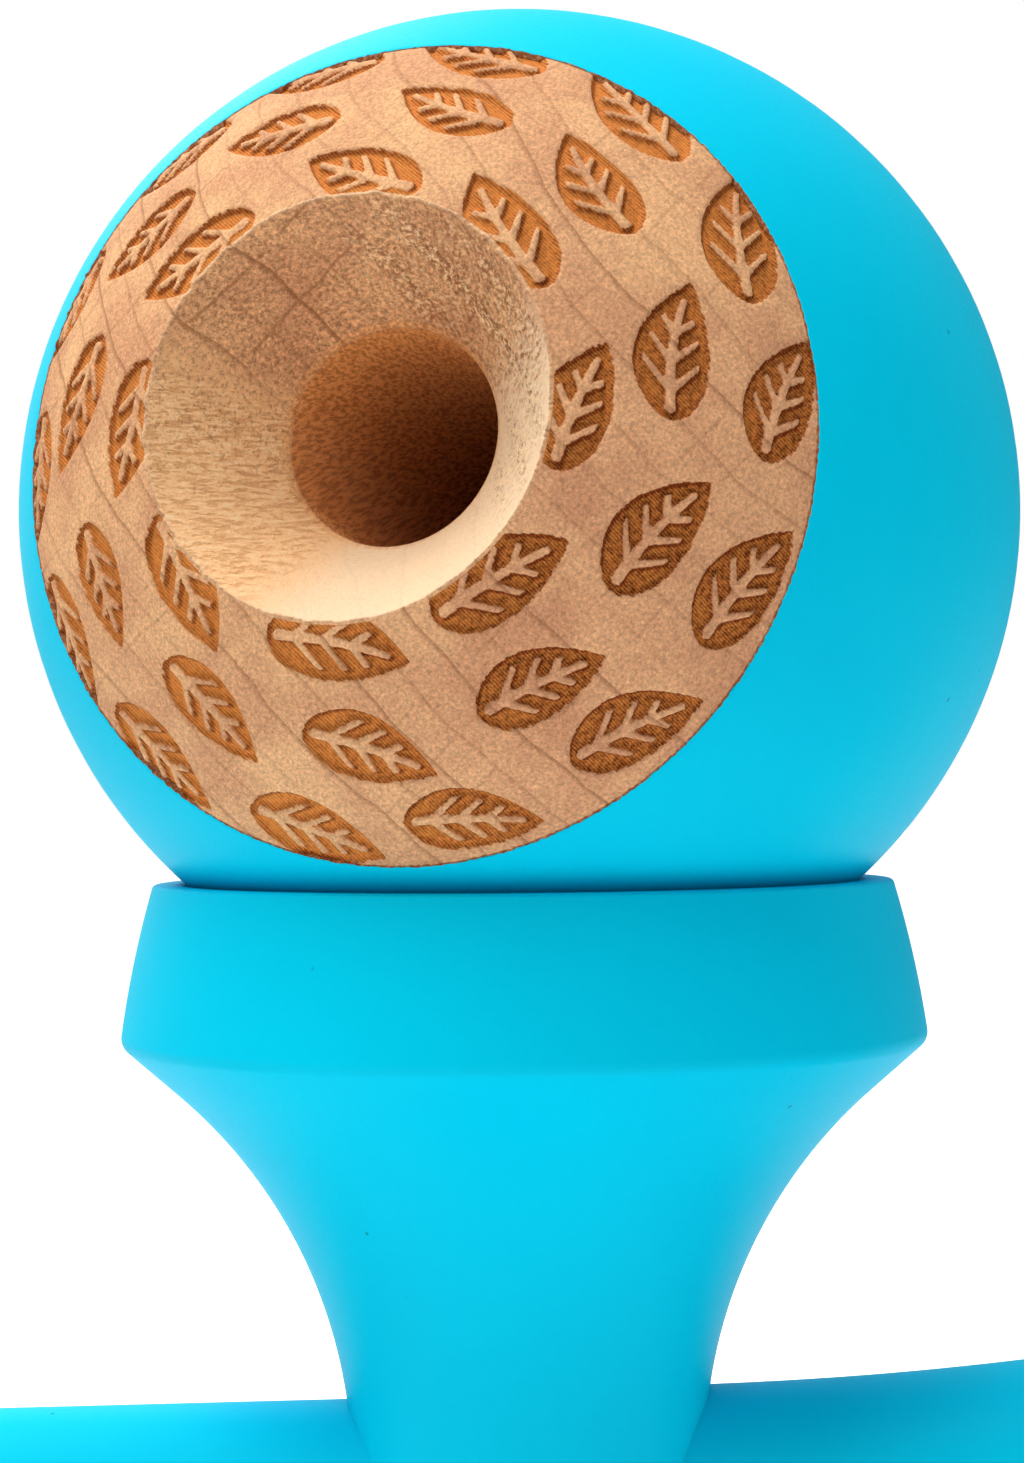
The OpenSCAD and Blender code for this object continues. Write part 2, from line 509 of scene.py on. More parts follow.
class Graph:
    """A node tree with short calls for the nodes that the finishes use."""

    # Sockets of a mix node go by number, because their names repeat: share and colours, then result
    mix_inputs = (0, 6, 7)
    mix_output = 2

    def __init__(self, tree: bpy.types.NodeTree) -> None:
        """Takes over a tree and clears it."""
        self.tree = tree
        tree.nodes.clear()

    def node(self, kind: str, inputs: Sequence[Value] = (), **settings: object) -> bpy.types.Node:
        """Adds a node.

        Args:
            kind: Type of the node.
            inputs: What its first inputs get, in order.
            settings: Properties to set on it.

        Returns:
            The new node.
        """
        made = self.tree.nodes.new(kind)
        for key, setting in settings.items():
            setattr(made, key, setting)
        for target, value in zip(made.inputs, inputs):
            self.feed(target, value)
        return made

    def out(self, kind: str, key: Union[int, str] = 0, inputs: Sequence[Value] = (),
            **settings: object) -> Wire:
        """Adds a node and gives one of its outputs.

        Args:
            kind: Type of the node.
            key: Name or number of the output.
            inputs: What its first inputs get, in order.
            settings: Properties to set on it.

        Returns:
            The output.
        """
        return Wire(self, self.node(kind, inputs, **settings).outputs[key])

    def feed(self, target: Socket, value: Value) -> None:
        """Links a wire to an input, or sets a plain value on it.

        Args:
            target: The input.
            value: Wire, number, vector or colour.
        """
        if isinstance(value, Wire):
            self.tree.links.new(value.socket, target)
        elif isinstance(value, tuple) and target.type == "RGBA":
            target.default_value = (*value, 1.0)
        else:
            target.default_value = value

    def math(self, operation: str, *values: Value) -> Wire:
        """Works out a number from others."""
        return self.out("ShaderNodeMath", 0, values, operation=operation)

    def vector(self, operation: str, first: Value, second: Value = (0.0, 0.0, 0.0)) -> Wire:
        """Works out a vector or a number from one or two vectors."""
        key = "Value" if operation in ("DOT_PRODUCT", "DISTANCE", "LENGTH") else 0
        return self.out("ShaderNodeVectorMath", key, (first, second), operation=operation)

    def mix(self, share: Value, first: Value, second: Value, blend: str = "MIX") -> Wire:
        """Mixes two colours.

        Args:
            share: How much of the second colour is taken.
            first: First colour.
            second: Second colour.
            blend: Way of mixing.

        Returns:
            The mixed colour.
        """
        made = self.node("ShaderNodeMix", data_type="RGBA", blend_type=blend)
        for number, value in zip(self.mix_inputs, (share, first, second)):
            self.feed(made.inputs[number], value)
        return Wire(self, made.outputs[self.mix_output])

    def noise(self, place: Wire, grit: Grit) -> Wire:
        """Adds soft noise about 0.5.

        Args:
            place: Coordinates.
            grit: Measures of the noise.

        Returns:
            The noise.
        """
        made = self.node("ShaderNodeTexNoise")
        for title, value in zip(("Vector", "Scale", "Detail", "Roughness"), (place, *grit)):
            self.feed(made.inputs[title], value)
        return Wire(self, made.outputs[0])

    def chance(self, number: Wire) -> Wire:
        """Draws a fixed random number for a number.

        Args:
            number: Number that it is drawn for.

        Returns:
            The random number, from 0 to 1.
        """
        made = self.node("ShaderNodeTexWhiteNoise", noise_dimensions="1D")
        self.feed(made.inputs["W"], number)
        return Wire(self, made.outputs[0])

    def field(self, field: Field) -> Wire:
        """Reads what the mesh carries."""
        return self.out("ShaderNodeAttribute", "Fac", attribute_name=field.value)

    def place(self) -> Wire:
        """Gives the place on the piece in millimetres."""
        at = self.out("ShaderNodeTexCoord", "Object")
        return self.vector("MULTIPLY", at, (1 / MM, 1 / MM, 1 / MM))

    def bump(self, height: Wire, depth: float) -> Wire:
        """Turns a height into a normal.

        Args:
            height: Height from 0 to 1.
            depth: What 1 stands for, in millimetres.

        Returns:
            The normal.
        """
        made = self.node("ShaderNodeBump")
        for title, value in (("Strength", 1.0), ("Distance", depth * MM), ("Height", height)):
            self.feed(made.inputs[title], value)
        return Wire(self, made.outputs[0])

    def surface(self, colour: Wire, roughness: Value, normal: Wire, gloss: float) -> None:
        """Ends a material in its shader.

        Args:
            colour: Base colour.
            roughness: Roughness.
            normal: Normal.
            gloss: Level of the mirror-like part, where 0.5 is a usual varnish.
        """
        shader = self.node("ShaderNodeBsdfPrincipled")
        self.feed(shader.inputs["Base Color"], colour)
        self.feed(shader.inputs["Roughness"], roughness)
        self.feed(shader.inputs["Normal"], normal)
        shader.inputs["Specular IOR Level"].default_value = gloss
        self.node("ShaderNodeOutputMaterial", (Wire(self, shader.outputs[0]),))


def new_material(name: str) -> Tuple[bpy.types.Material, Graph]:
    """Starts a material with an empty tree.

    Args:
        name: Name of the material.

    Returns:
        The material and its tree.
    """
    made = bpy.data.materials.new(name)
    made.use_nodes = True
    return made, Graph(made.node_tree)


class Effect:
    """A shader node group that several finishes share."""

    name = ""
    inputs: Dict[str, str] = {}
    outputs: Dict[str, str] = {}

    def tree(self) -> bpy.types.NodeTree:
        """Finds the group, or builds it on first use.

        Returns:
            The group's tree.
        """
        found = bpy.data.node_groups.get(self.name)
        if found:
            return found
        made = bpy.data.node_groups.new(self.name, "ShaderNodeTree")
        for side, sockets in (("INPUT", self.inputs), ("OUTPUT", self.outputs)):
            for title, kind in sockets.items():
                made.interface.new_socket(title, in_out=side, socket_type=kind)
        graph = Graph(made)
        given = graph.node("NodeGroupInput").outputs
        results = self.build(graph, {title: Wire(graph, given[title]) for title in self.inputs})
        ends = graph.node("NodeGroupOutput").inputs
        for title, wire in results.items():
            graph.feed(ends[title], wire)
        return made

    def build(self, graph: Graph, given: Dict[str, Wire]) -> Dict[str, Wire]:
        """Builds the inside of the group.

        Args:
            graph: Tree of the group.
            given: The group's inputs.

        Returns:
            What each output gets.
        """
        raise NotImplementedError

    def put(self, graph: Graph, **values: Value) -> Dict[str, Wire]:
        """Places the group in a material.

        Args:
            graph: Tree of the material.
            values: Value of each input.

        Returns:
            The group's outputs.
        """
        made = graph.node("ShaderNodeGroup", node_tree=self.tree())
        for title, value in values.items():
            graph.feed(made.inputs[title], value)
        return {title: Wire(graph, made.outputs[title]) for title in self.outputs}


class MapleGrain(Effect):
    """Grain of turned maple: growth lines, mottling, fibres and fine flecks."""

    name = "maple_grain"
    inputs = {
        "Place": "NodeSocketVector",
        "Light": "NodeSocketColor",
        "Dark": "NodeSocketColor",
        "Line": "NodeSocketColor",
        "Speckle": "NodeSocketFloat",
    }
    outputs = {
        "Color": "NodeSocketColor",
        "Height": "NodeSocketFloat",
        "Rays": "NodeSocketFloat",
        "Fibres": "NodeSocketFloat",
        "Late": "NodeSocketFloat",
        "Line": "NodeSocketFloat",
    }

    # Growth lines: direction across them, distance in millimetres, and how they wander
    growth = Vector((0.68, -0.30, 0.64)).normalized()
    spacing = 2.4
    wander = 2.2
    wander_noise = Grit(0.045, 1.0)
    waver = 0.3
    waver_noise = Grit(0.3)
    line_rise = Span(0.84, 0.985)
    line_fall = Span(1.0, 0.985)
    line_weight = Span(0.0, 1.0, 0.2, 0.66)
    first_year = 9.0

    # Fibres, with their direction and how much finer they are across it
    fibre = Vector((-0.22, -0.93, -0.20))
    fibre_scales = (0.5, 5.0, 5.0)
    fibre_noise = Grit(1.0, 4.0, 0.65)
    fibre_tone = Span(0.3, 0.7, -0.1, 0.25)
    fleck = Span(0.64, 0.78)
    fleck_share = 0.35

    # Soft mottling and fine dots
    mottle_noise = Grit(0.2, 3.0, 0.6)
    mottle_tone = Span(0.33, 0.68, 0.12, 0.62)
    dot_noise = Grit(5.2, 2.0, 0.8)
    relief_share = 0.5

    # Rays across the growth lines, each in a cell of its own
    ray_spacing = 2.7
    ray_bend = 0.5
    ray_noise = Grit(0.15)
    ray_place = Slope(0.25, 0.5)
    ray_width = Span(0.05, 0.015)
    ray_offset = 0.37
    ray_missing = 0.4
    ray_gap_noise = Grit(0.45)
    ray_gaps = Span(0.4, 0.54)
    ray_share = 0.25

    def build(self, graph: Graph, given: Dict[str, Wire]) -> Dict[str, Wire]:
        """Builds the grain.

        Args:
            graph: Tree of the group.
            given: Place on the wood, in millimetres, its colours and the strength of the speckle.

        Returns:
            The wood's colour and height, and masks of what the grain is made of.
        """
        place = given["Place"]
        fibre = (self.fibre - self.growth * self.fibre.dot(self.growth)).normalized()
        side = self.growth.cross(fibre)
        axes = [place.dot(tuple(way)) for way in (fibre, side, self.growth)]
        ring = graph.noise(place, self.wander_noise) * self.wander + axes[2] / self.spacing
        ring = graph.noise(place, self.waver_noise) * self.waver + ring
        late = graph.math("FRACT", ring)
        line = late.ramp(self.line_rise) * late.ramp(self.line_fall)
        year = graph.math("FLOOR", ring) - self.first_year
        line = line * graph.chance(year).ramp(self.line_weight)
        scaled = [axis * scale for axis, scale in zip(axes, self.fibre_scales)]
        fibres = graph.noise(graph.out("ShaderNodeCombineXYZ", 0, scaled), self.fibre_noise)
        mottle = graph.noise(place, self.mottle_noise)
        dots = graph.noise(place, self.dot_noise)
        rays = self.rays(graph, place, axes[1])
        tone = mottle.ramp(self.mottle_tone) + fibres.ramp(self.fibre_tone)
        colour = graph.mix(tone, given["Light"], given["Dark"])
        colour = colour.mix(given["Line"], line)
        colour = colour.mix(given["Line"], fibres.ramp(self.fleck) * self.fleck_share)
        colour = colour.mix(given["Line"], rays * self.ray_share)
        colour = colour.tinted((dots - MIDDLE) * given["Speckle"] + 1.0)
        height = fibres * self.relief_share + dots * self.relief_share
        return {"Color": colour, "Height": height, "Rays": rays, "Fibres": fibres, "Late": late, "Line": line}

    def rays(self, graph: Graph, place: Wire, across: Wire) -> Wire:
        """Draws the thin broken rays that cross the growth lines.

        Args:
            graph: Tree of the group.
            place: Place on the wood, in millimetres.
            across: Distance across the rays, in millimetres.

        Returns:
            A mask of the rays.
        """
        run = graph.noise(place, self.ray_noise) * self.ray_bend + across / self.ray_spacing
        cell = graph.math("FLOOR", run)
        off = abs(graph.math("FRACT", run) - graph.chance(cell).slope(self.ray_place))
        seen = graph.math("GREATER_THAN", graph.chance(cell + self.ray_offset), self.ray_missing)
        broken = graph.noise(place, self.ray_gap_noise).ramp(self.ray_gaps)
        return off.ramp(self.ray_width) * seen * broken


class SatinCoat(Effect):
    """Sprayed satin paint on wood: slow changes of tone, fine texture and rare pinholes."""

    name = "satin_coat"
    inputs = {
        "Place": "NodeSocketVector",
        "Paint": "NodeSocketColor",
        "Deep": "NodeSocketColor",
        "Pinholes": "NodeSocketFloat",
    }
    outputs = {
        "Color": "NodeSocketColor",
        "Roughness": "NodeSocketFloat",
        "Height": "NodeSocketFloat",
    }

    slow_noise = Grit(0.05)
    slow_tone = Span(0.3, 0.7, 0.0, 0.3)
    fine_noise = Grit(4.5, 2.0, 0.6)
    fine_tone = Span(0.35, 0.75, 0.0, 0.12)
    fine_rough = Span(0.3, 0.7, 0.4, 0.5)
    fine_relief = 0.25
    cell_scale = 0.42
    pin_edge = Span(0.075, 0.035)
    pin_share = 0.5
    pin_colour = (0.0, 0.08, 0.14)

    def build(self, graph: Graph, given: Dict[str, Wire]) -> Dict[str, Wire]:
        """Builds the coat.

        Args:
            graph: Tree of the group.
            given: Place on the piece, in millimetres, the paint's colours and the share of pinholes.

        Returns:
            The coat's colour, roughness and height.
        """
        slow = graph.noise(given["Place"], self.slow_noise)
        fine = graph.noise(given["Place"], self.fine_noise)
        cells = graph.node("ShaderNodeTexVoronoi")
        graph.feed(cells.inputs["Vector"], given["Place"])
        cells.inputs["Scale"].default_value = self.cell_scale
        picked = graph.out("ShaderNodeSeparateColor", 0, (Wire(graph, cells.outputs["Color"]),))
        rare = graph.math("LESS_THAN", picked, given["Pinholes"])
        pin = Wire(graph, cells.outputs["Distance"]).ramp(self.pin_edge) * rare
        colour = graph.mix(slow.ramp(self.slow_tone), given["Paint"], given["Deep"])
        colour = colour.mix(given["Deep"], fine.ramp(self.fine_tone))
        colour = colour.mix(self.pin_colour, pin * self.pin_share)
        height = fine * self.fine_relief - pin
        return {"Color": colour, "Roughness": fine.ramp(self.fine_rough), "Height": height}


@dataclass(frozen=True)
class Paint:
    """Satin paint of one piece.

    Attributes:
        name: Name of the material.
        colour: Colour of a full coat.
        deep: Colour where the coat is thicker or pitted.
        pinholes: Share of the cells of the coat that hold a pinhole.
        gloss: Level of the mirror-like part.
        relief: Height of the coat's texture.
    """

    name: str
    colour: Colour = linear(0, 206, 237)
    deep: Colour = linear(0, 190, 228)
    pinholes: float = 0.12
    gloss: float = 0.03
    relief: float = 0.02

    def material(self) -> bpy.types.Material:
        """Builds the material.

        Returns:
            The material.
        """
        made, graph = new_material(self.name)
        coat = SatinCoat().put(
            graph, Place=graph.place(), Paint=self.colour, Deep=self.deep, Pinholes=self.pinholes)
        normal = graph.bump(coat["Height"], self.relief)
        graph.surface(coat["Color"], coat["Roughness"], normal, self.gloss)
        return made


@dataclass(frozen=True)
class BareWood:
    """Bare turned maple.

    Attributes:
        name: Name of the material.
        light: Colour of the pale wood.
        dark: Colour of the mottled wood.
        line: Colour of the growth lines and flecks.
        speckle: Strength of the fine speckle.
        roughness: Roughness.
        gloss: Level of the mirror-like part.
        relief: Height of the grain.
    """

    name: str
    light: Colour = linear(238, 183, 132)
    dark: Colour = linear(198, 136, 100)
    line: Colour = linear(158, 102, 66)
    speckle: float = 1.4
    roughness: float = 0.62
    gloss: float = 0.25
    relief: float = 0.05

    def grain(self, graph: Graph, place: Wire) -> Dict[str, Wire]:
        """Places the grain of this wood in a material.

        Args:
            graph: Tree of the material.
            place: Place on the wood, in millimetres.

        Returns:
            The grain's outputs.
        """
        return MapleGrain().put(
            graph, Place=place, Light=self.light, Dark=self.dark, Line=self.line, Speckle=self.speckle)

    def material(self) -> bpy.types.Material:
        """Builds the material.

        Returns:
            The material.
        """
        made, graph = new_material(self.name)
        grain = self.grain(graph, graph.place())
        graph.surface(grain["Color"], self.roughness, graph.bump(grain["Height"], self.relief), self.gloss)
        return made


@dataclass(frozen=True)
class EngravedWood(BareWood):
    """Bare maple with burnt engraving, a burnt brim and a rougher drilled bevel.

    Attributes:
        floor: Colour of the engraved floors.
        burnt: Colour of burnt edges.
        fresh: Colour of the bevel where the cutter left clean side grain.
        amber: Colour of the bevel where the cutter ran along the fibres and the bevel faces up into the
            light: partly the cut wood's colour, partly painted light.
        chip_and_highlight: Colour of raised splinters on the bevel and of its ripples' crests: partly their
            paler wood, partly painted highlight where they catch the light.
        end: Tint of the bevel where it cuts across the fibres and faces down, away from the light: partly the
            darker end grain, partly painted shade.
        bore: Colour of the wood inside the hole.
        streak: Tint of the dark streaks inside the hole.
        tint: Tint that darkens the bare wood towards the darkest place, at the lower right of the face.
        centre: Centre of the ball, in the frame, in millimetres.
        radius: Radius of the bare wood.
        darkest_at: Place at the lower right of the face round which the bare wood and the engraved floors are
            darkest, in the frame, in millimetres.
        shaded_wall_way: Direction that the walls of the engraving face where painted shade darkens them,
            turned away from the light.
        shaded_end_way: Normal of the part of the bevel that cuts across the fibres most and faces most away
            from the light, where the bevel is darkened partly as end grain, partly as painted shade.
        warm_way: Normal of the part of the bevel that runs along the fibres, with the cutter's ripples, and
            faces up into the light, where it is paler partly as painted light.
        scan: Direction across the engraver's lines.
        pitch: Distance between the engraver's lines.
    """

    floor: Colour = linear(234, 151, 75)
    burnt: Colour = linear(126, 56, 16)
    fresh: Colour = linear(250, 222, 186)
    amber: Colour = linear(255, 198, 142)
    chip_and_highlight: Colour = linear(255, 218, 170)
    end: Colour = (0.86, 0.84, 0.82)
    bore: Colour = linear(255, 184, 112)
    streak: Colour = (0.56, 0.44, 0.36)
    tint: Colour = (0.93, 0.86, 0.88)
    centre: Way = (0.0, 0.0, 95.3)
    radius: float = 29.94
    darkest_at: Way = (13.0, -27.0, 85.0)
    shaded_wall_way: Way = (0.6, 0.0, -0.8)
    shaded_end_way: Way = (-0.044, -0.753, -0.656)
    warm_way: Way = (0.466, -0.780, 0.418)
    scan: Way = (0.71, 0.0, 0.70)
    pitch: float = 0.16
    roughness: float = 0.66
    gloss: float = 0.08
    relief: float = 0.07

    # The engraver: coarse burnt grain, reach of the darkening round the darkest place, and what is left of
    # the grain
    crumb_noise = Grit(3.8, 2.0, 0.8)
    darkest_reach = Span(10.0, 33.0, 1.0, 0.0)
    face_end = Span(0.0, 0.5)
    grain_left = 0.3
    hatch_relief = 0.3
    crumb_relief = 0.6

    # The burnt brim along the paint
    brim_shift = 0.08
    brim_edge = Span(0.16, 0.05)
    brim_gaps = Span(0.3, 0.6, 0.35, 1.0)
    brim_share = 0.85

    # Edges of the leaves and veins, shifted from line to line, the scorch on the floors, and the painted
    # shade on walls turned away from the light
    leaf_shift = 0.1
    leaf_edge = Span(-0.03, 0.05)
    leaf_rim = Span(0.26, 0.02)
    vein_shift = -0.07
    vein_edge = Span(-0.1, 0.0)
    vein_rim = Span(-0.26, -0.08)
    rim_scorch = 0.2
    hatch_scorch = Span(-1.0, 1.0, 0.0, 0.3)
    spot_scorch = Span(0.42, 0.68, 0.0, 0.6)
    spot_burn = Slope(0.3, 0.4)
    floor_burn = Slope(-0.12, 0.37)
    # Painted shade: darkens the engraving's walls that face lower right, away from the light
    painted_wall_shade = Span(0.1, 0.45, 0.0, 0.46)
    floor_grit = Slope(-0.6, -0.75)

    # The bevel: where it is, where it cuts across the fibres and is darkened partly as painted shade, and its
    # clean wood
    bevel_start = Span(0.2, 0.9)
    end_grain_and_shade = Span(0.24, 0.62)
    clean_share = 0.8
    ray_share = 0.5
    end_grit = -1.7
    pore_edge = Span(0.5, 0.7)
    pore_share = Slope(0.12, 0.45)
    crumb_height = 1.3

    # The side of the bevel that runs along the fibres, with ripples, paler partly as painted light where it
    # faces up
    warm_side = Span(0.7, 0.95)
    warm_share = 0.92
    wave_scales = (1.0, 1.0, 5.0)
    wave_noise = Grit(1.0, 4.0, 0.75)
    ripple_side = Span(0.79, 0.93)
    crest_edge = Span(0.5, 0.38)
    crest_share = 0.7
    trough_edge = Span(0.5, 0.66)
    trough_share = 0.34
    trough_height = -0.8

    # Torn wood, most along the late wood of each year: pale chips, partly painted highlight, and dark pits of
    # painted shadow
    late_wood = 0.85
    seam_edge = Span(0.32, 0.1)
    seam_share = Slope(0.45, 0.55)
    chip_noise = Grit(3.2, 3.0, 0.75)
    chip_and_highlight_edge = Span(0.51, 0.59)
    chip_and_highlight_share = 0.95
    pit_shadow_edge = Span(0.49, 0.4)
    pit_shadow_share = 0.6
    chip_height = 2.5

    # The painted highlight along the bevel's rounded outer edge, and the wood inside the hole
    edge_highlight_rise = Span(0.1, 0.4)
    edge_highlight_fall = Span(0.95, 0.6)
    edge_highlight_gaps = Span(0.35, 0.6, 0.3, 1.0)
    edge_highlight_share = 0.15
    streak_edge = Span(0.4, 0.62)
    hole_start = Span(1.2, 1.9, 0.0, 0.88)

    def material(self) -> bpy.types.Material:
        """Builds the material.

        Returns:
            The material.
        """
        made, graph = new_material(self.name)
        place = graph.place()
        normal = graph.out("ShaderNodeTexCoord", "Normal")
        grain = self.grain(graph, place)
        crumbs = graph.noise(place, self.crumb_noise)
        across = place.dot(self.scan) / self.pitch
        jitter = graph.chance(graph.math("FLOOR", across)) - MIDDLE
        hatch = graph.math("SINE", across * TURN)
        near_darkest = graph.vector("DISTANCE", place, self.darkest_at).ramp(self.darkest_reach)
        # Painted shade: how far a wall of the engraving turns from the ball's round surface towards the lower
        # right, away from the light
        out = graph.vector("SUBTRACT", place, self.centre).dot(self.shaded_wall_way)
        side = out * (-1 / self.radius) + normal.dot(self.shaded_wall_way)
        cut, floor = self.engraving(graph, near_darkest, side, jitter, hatch, crumbs)
        colour, relief = self.drilling(graph, place, grain, crumbs, normal)
        bare = 1.0 - graph.field(Field.DRILLED).ramp(self.face_end)
        # Bare wood darker towards the lower right of the face
        colour = colour.mix(colour.tinted(self.tint), near_darkest * near_darkest * bare)
        colour = colour.mix(floor.tinted(grain["Color"], self.grain_left), cut)
        edge = jitter * self.brim_shift + graph.field(Field.BRIM)
        brim = edge.ramp(self.brim_edge) * crumbs.ramp(self.brim_gaps)
        colour = colour.mix(self.burnt, brim * self.brim_share)
        height = grain["Height"] + relief
        height = hatch * cut * self.hatch_relief + height
        height = crumbs * cut * self.crumb_relief + height
        graph.surface(colour, self.roughness, graph.bump(height, self.relief), self.gloss)
        return made

    def engraving(self, graph: Graph, near_darkest: Wire, side: Wire, jitter: Wire, hatch: Wire,
                  crumbs: Wire) -> Tuple[Wire, Wire]:
        """Burns the engraved floors, darkest along their edges.

        Args:
            graph: Tree of the material.
            near_darkest: How near the wood is to the darkest place, from 0 to 1.
            side: How far the wall faces the side where painted shade darkens it, away from the light.
            jitter: Shift of each of the engraver's lines.
            hatch: Wave of the engraver's lines.
            crumbs: Coarse grain of the burnt wood.

        Returns:
            A mask of the floors and their colour.
        """
        leaf = jitter * self.leaf_shift + graph.field(Field.LEAF)
        vein = jitter * self.vein_shift + graph.field(Field.VEIN)
        cut = leaf.ramp(self.leaf_edge) * (1.0 - vein.ramp(self.vein_edge))
        rim = leaf.ramp(self.leaf_rim).most(vein.ramp(self.vein_rim))
        spots = crumbs.ramp(self.spot_scorch) * near_darkest.slope(self.spot_burn)
        scorch_and_wall_shade = rim * self.rim_scorch + hatch.ramp(self.hatch_scorch) + spots
        # The floors darken towards the darkest place, and the walls that face lower right take painted shade
        scorch_and_wall_shade = scorch_and_wall_shade + near_darkest.slope(self.floor_burn) + side.ramp(self.painted_wall_shade)
        floor = graph.mix(scorch_and_wall_shade, self.floor, self.burnt)
        return cut, floor.tinted((crumbs - MIDDLE) * near_darkest.slope(self.floor_grit) + 1.0)

    def drilling(self, graph: Graph, place: Wire, grain: Dict[str, Wire], crumbs: Wire,
                 normal: Wire) -> Tuple[Wire, Wire]:
        """Colours and roughens the bevel and the hole.

        Args:
            graph: Tree of the material.
            place: Place on the wood, in millimetres.
            grain: Outputs of the wood's grain.
            crumbs: Coarse grain of the cut wood.
            normal: Normal of the surface, in the frame.

        Returns:
            The colour of face, bevel and hole, and the height of their relief.
        """
        deep = graph.field(Field.DRILLED)
        drilled = deep.ramp(self.bevel_start)
        # Darker on the upper half of the bevel, which faces down and away from the light: partly end grain,
        # partly painted shade
        end = normal.dot(self.shaded_end_way).ramp(self.end_grain_and_shade) * drilled
        colour = grain["Color"].mix(self.fresh, (drilled - end) * self.clean_share)
        colour = colour.mix(colour.tinted(self.end), end)
        drawn = (grain["Rays"] * self.ray_share).most(grain["Line"])
        colour = colour.mix(self.line, drawn * end)
        colour = colour.mix(colour.tinted((crumbs - MIDDLE) * self.end_grit + 1.0), end)
        # Paler amber where the bevel faces up into the light: partly wood cut along the fibres, partly
        # painted light
        along = normal.dot(self.warm_way)
        warm = along.ramp(self.warm_side) * drilled
        colour = colour.mix(self.amber, warm * self.warm_share)
        waves = graph.noise(graph.vector("MULTIPLY", place, self.wave_scales), self.wave_noise)
        ripple = along.ramp(self.ripple_side) * drilled
        crest = waves.ramp(self.crest_edge) * (ripple * warm)
        colour = colour.mix(self.chip_and_highlight, crest * self.crest_share)
        trough = waves.ramp(self.trough_edge) * ripple
        colour = colour.mix(self.floor, trough * self.trough_share)
        seam = abs(grain["Late"] - self.late_wood).ramp(self.seam_edge)
        torn = graph.field(Field.TORN) * seam.slope(self.seam_share)
        chips = graph.noise(place, self.chip_noise)
        # Pale chips of torn wood: partly raised splinters, partly painted highlight where they catch the
        # light
        colour = colour.mix(self.chip_and_highlight, chips.ramp(self.chip_and_highlight_edge) * torn * self.chip_and_highlight_share)
        # Painted shadow: dark pits between the chips, in the burnt colour
        colour = colour.mix(self.burnt, chips.ramp(self.pit_shadow_edge) * torn * self.pit_shadow_share)
        pores = crumbs.ramp(self.pore_edge) * end.slope(self.pore_share)
        colour = colour.mix(self.line, pores * drilled)
        # Painted highlight: a pale, broken line along the bevel's rounded outer edge, where it catches the
        # light
        edge_highlight = deep.ramp(self.edge_highlight_rise) * deep.ramp(self.edge_highlight_fall) * chips.ramp(self.edge_highlight_gaps)
        colour = colour.mix(self.fresh, edge_highlight * self.edge_highlight_share)
        dark = tuple(a * b for a, b in zip(self.bore, self.streak))
        bore = graph.mix(grain["Fibres"].ramp(self.streak_edge), self.bore, dark)
        colour = colour.mix(bore, deep.ramp(self.hole_start))
        relief = (1.0 - crumbs) * (drilled * self.crumb_height) + trough * self.trough_height
        return colour, chips * torn * self.chip_height + relief


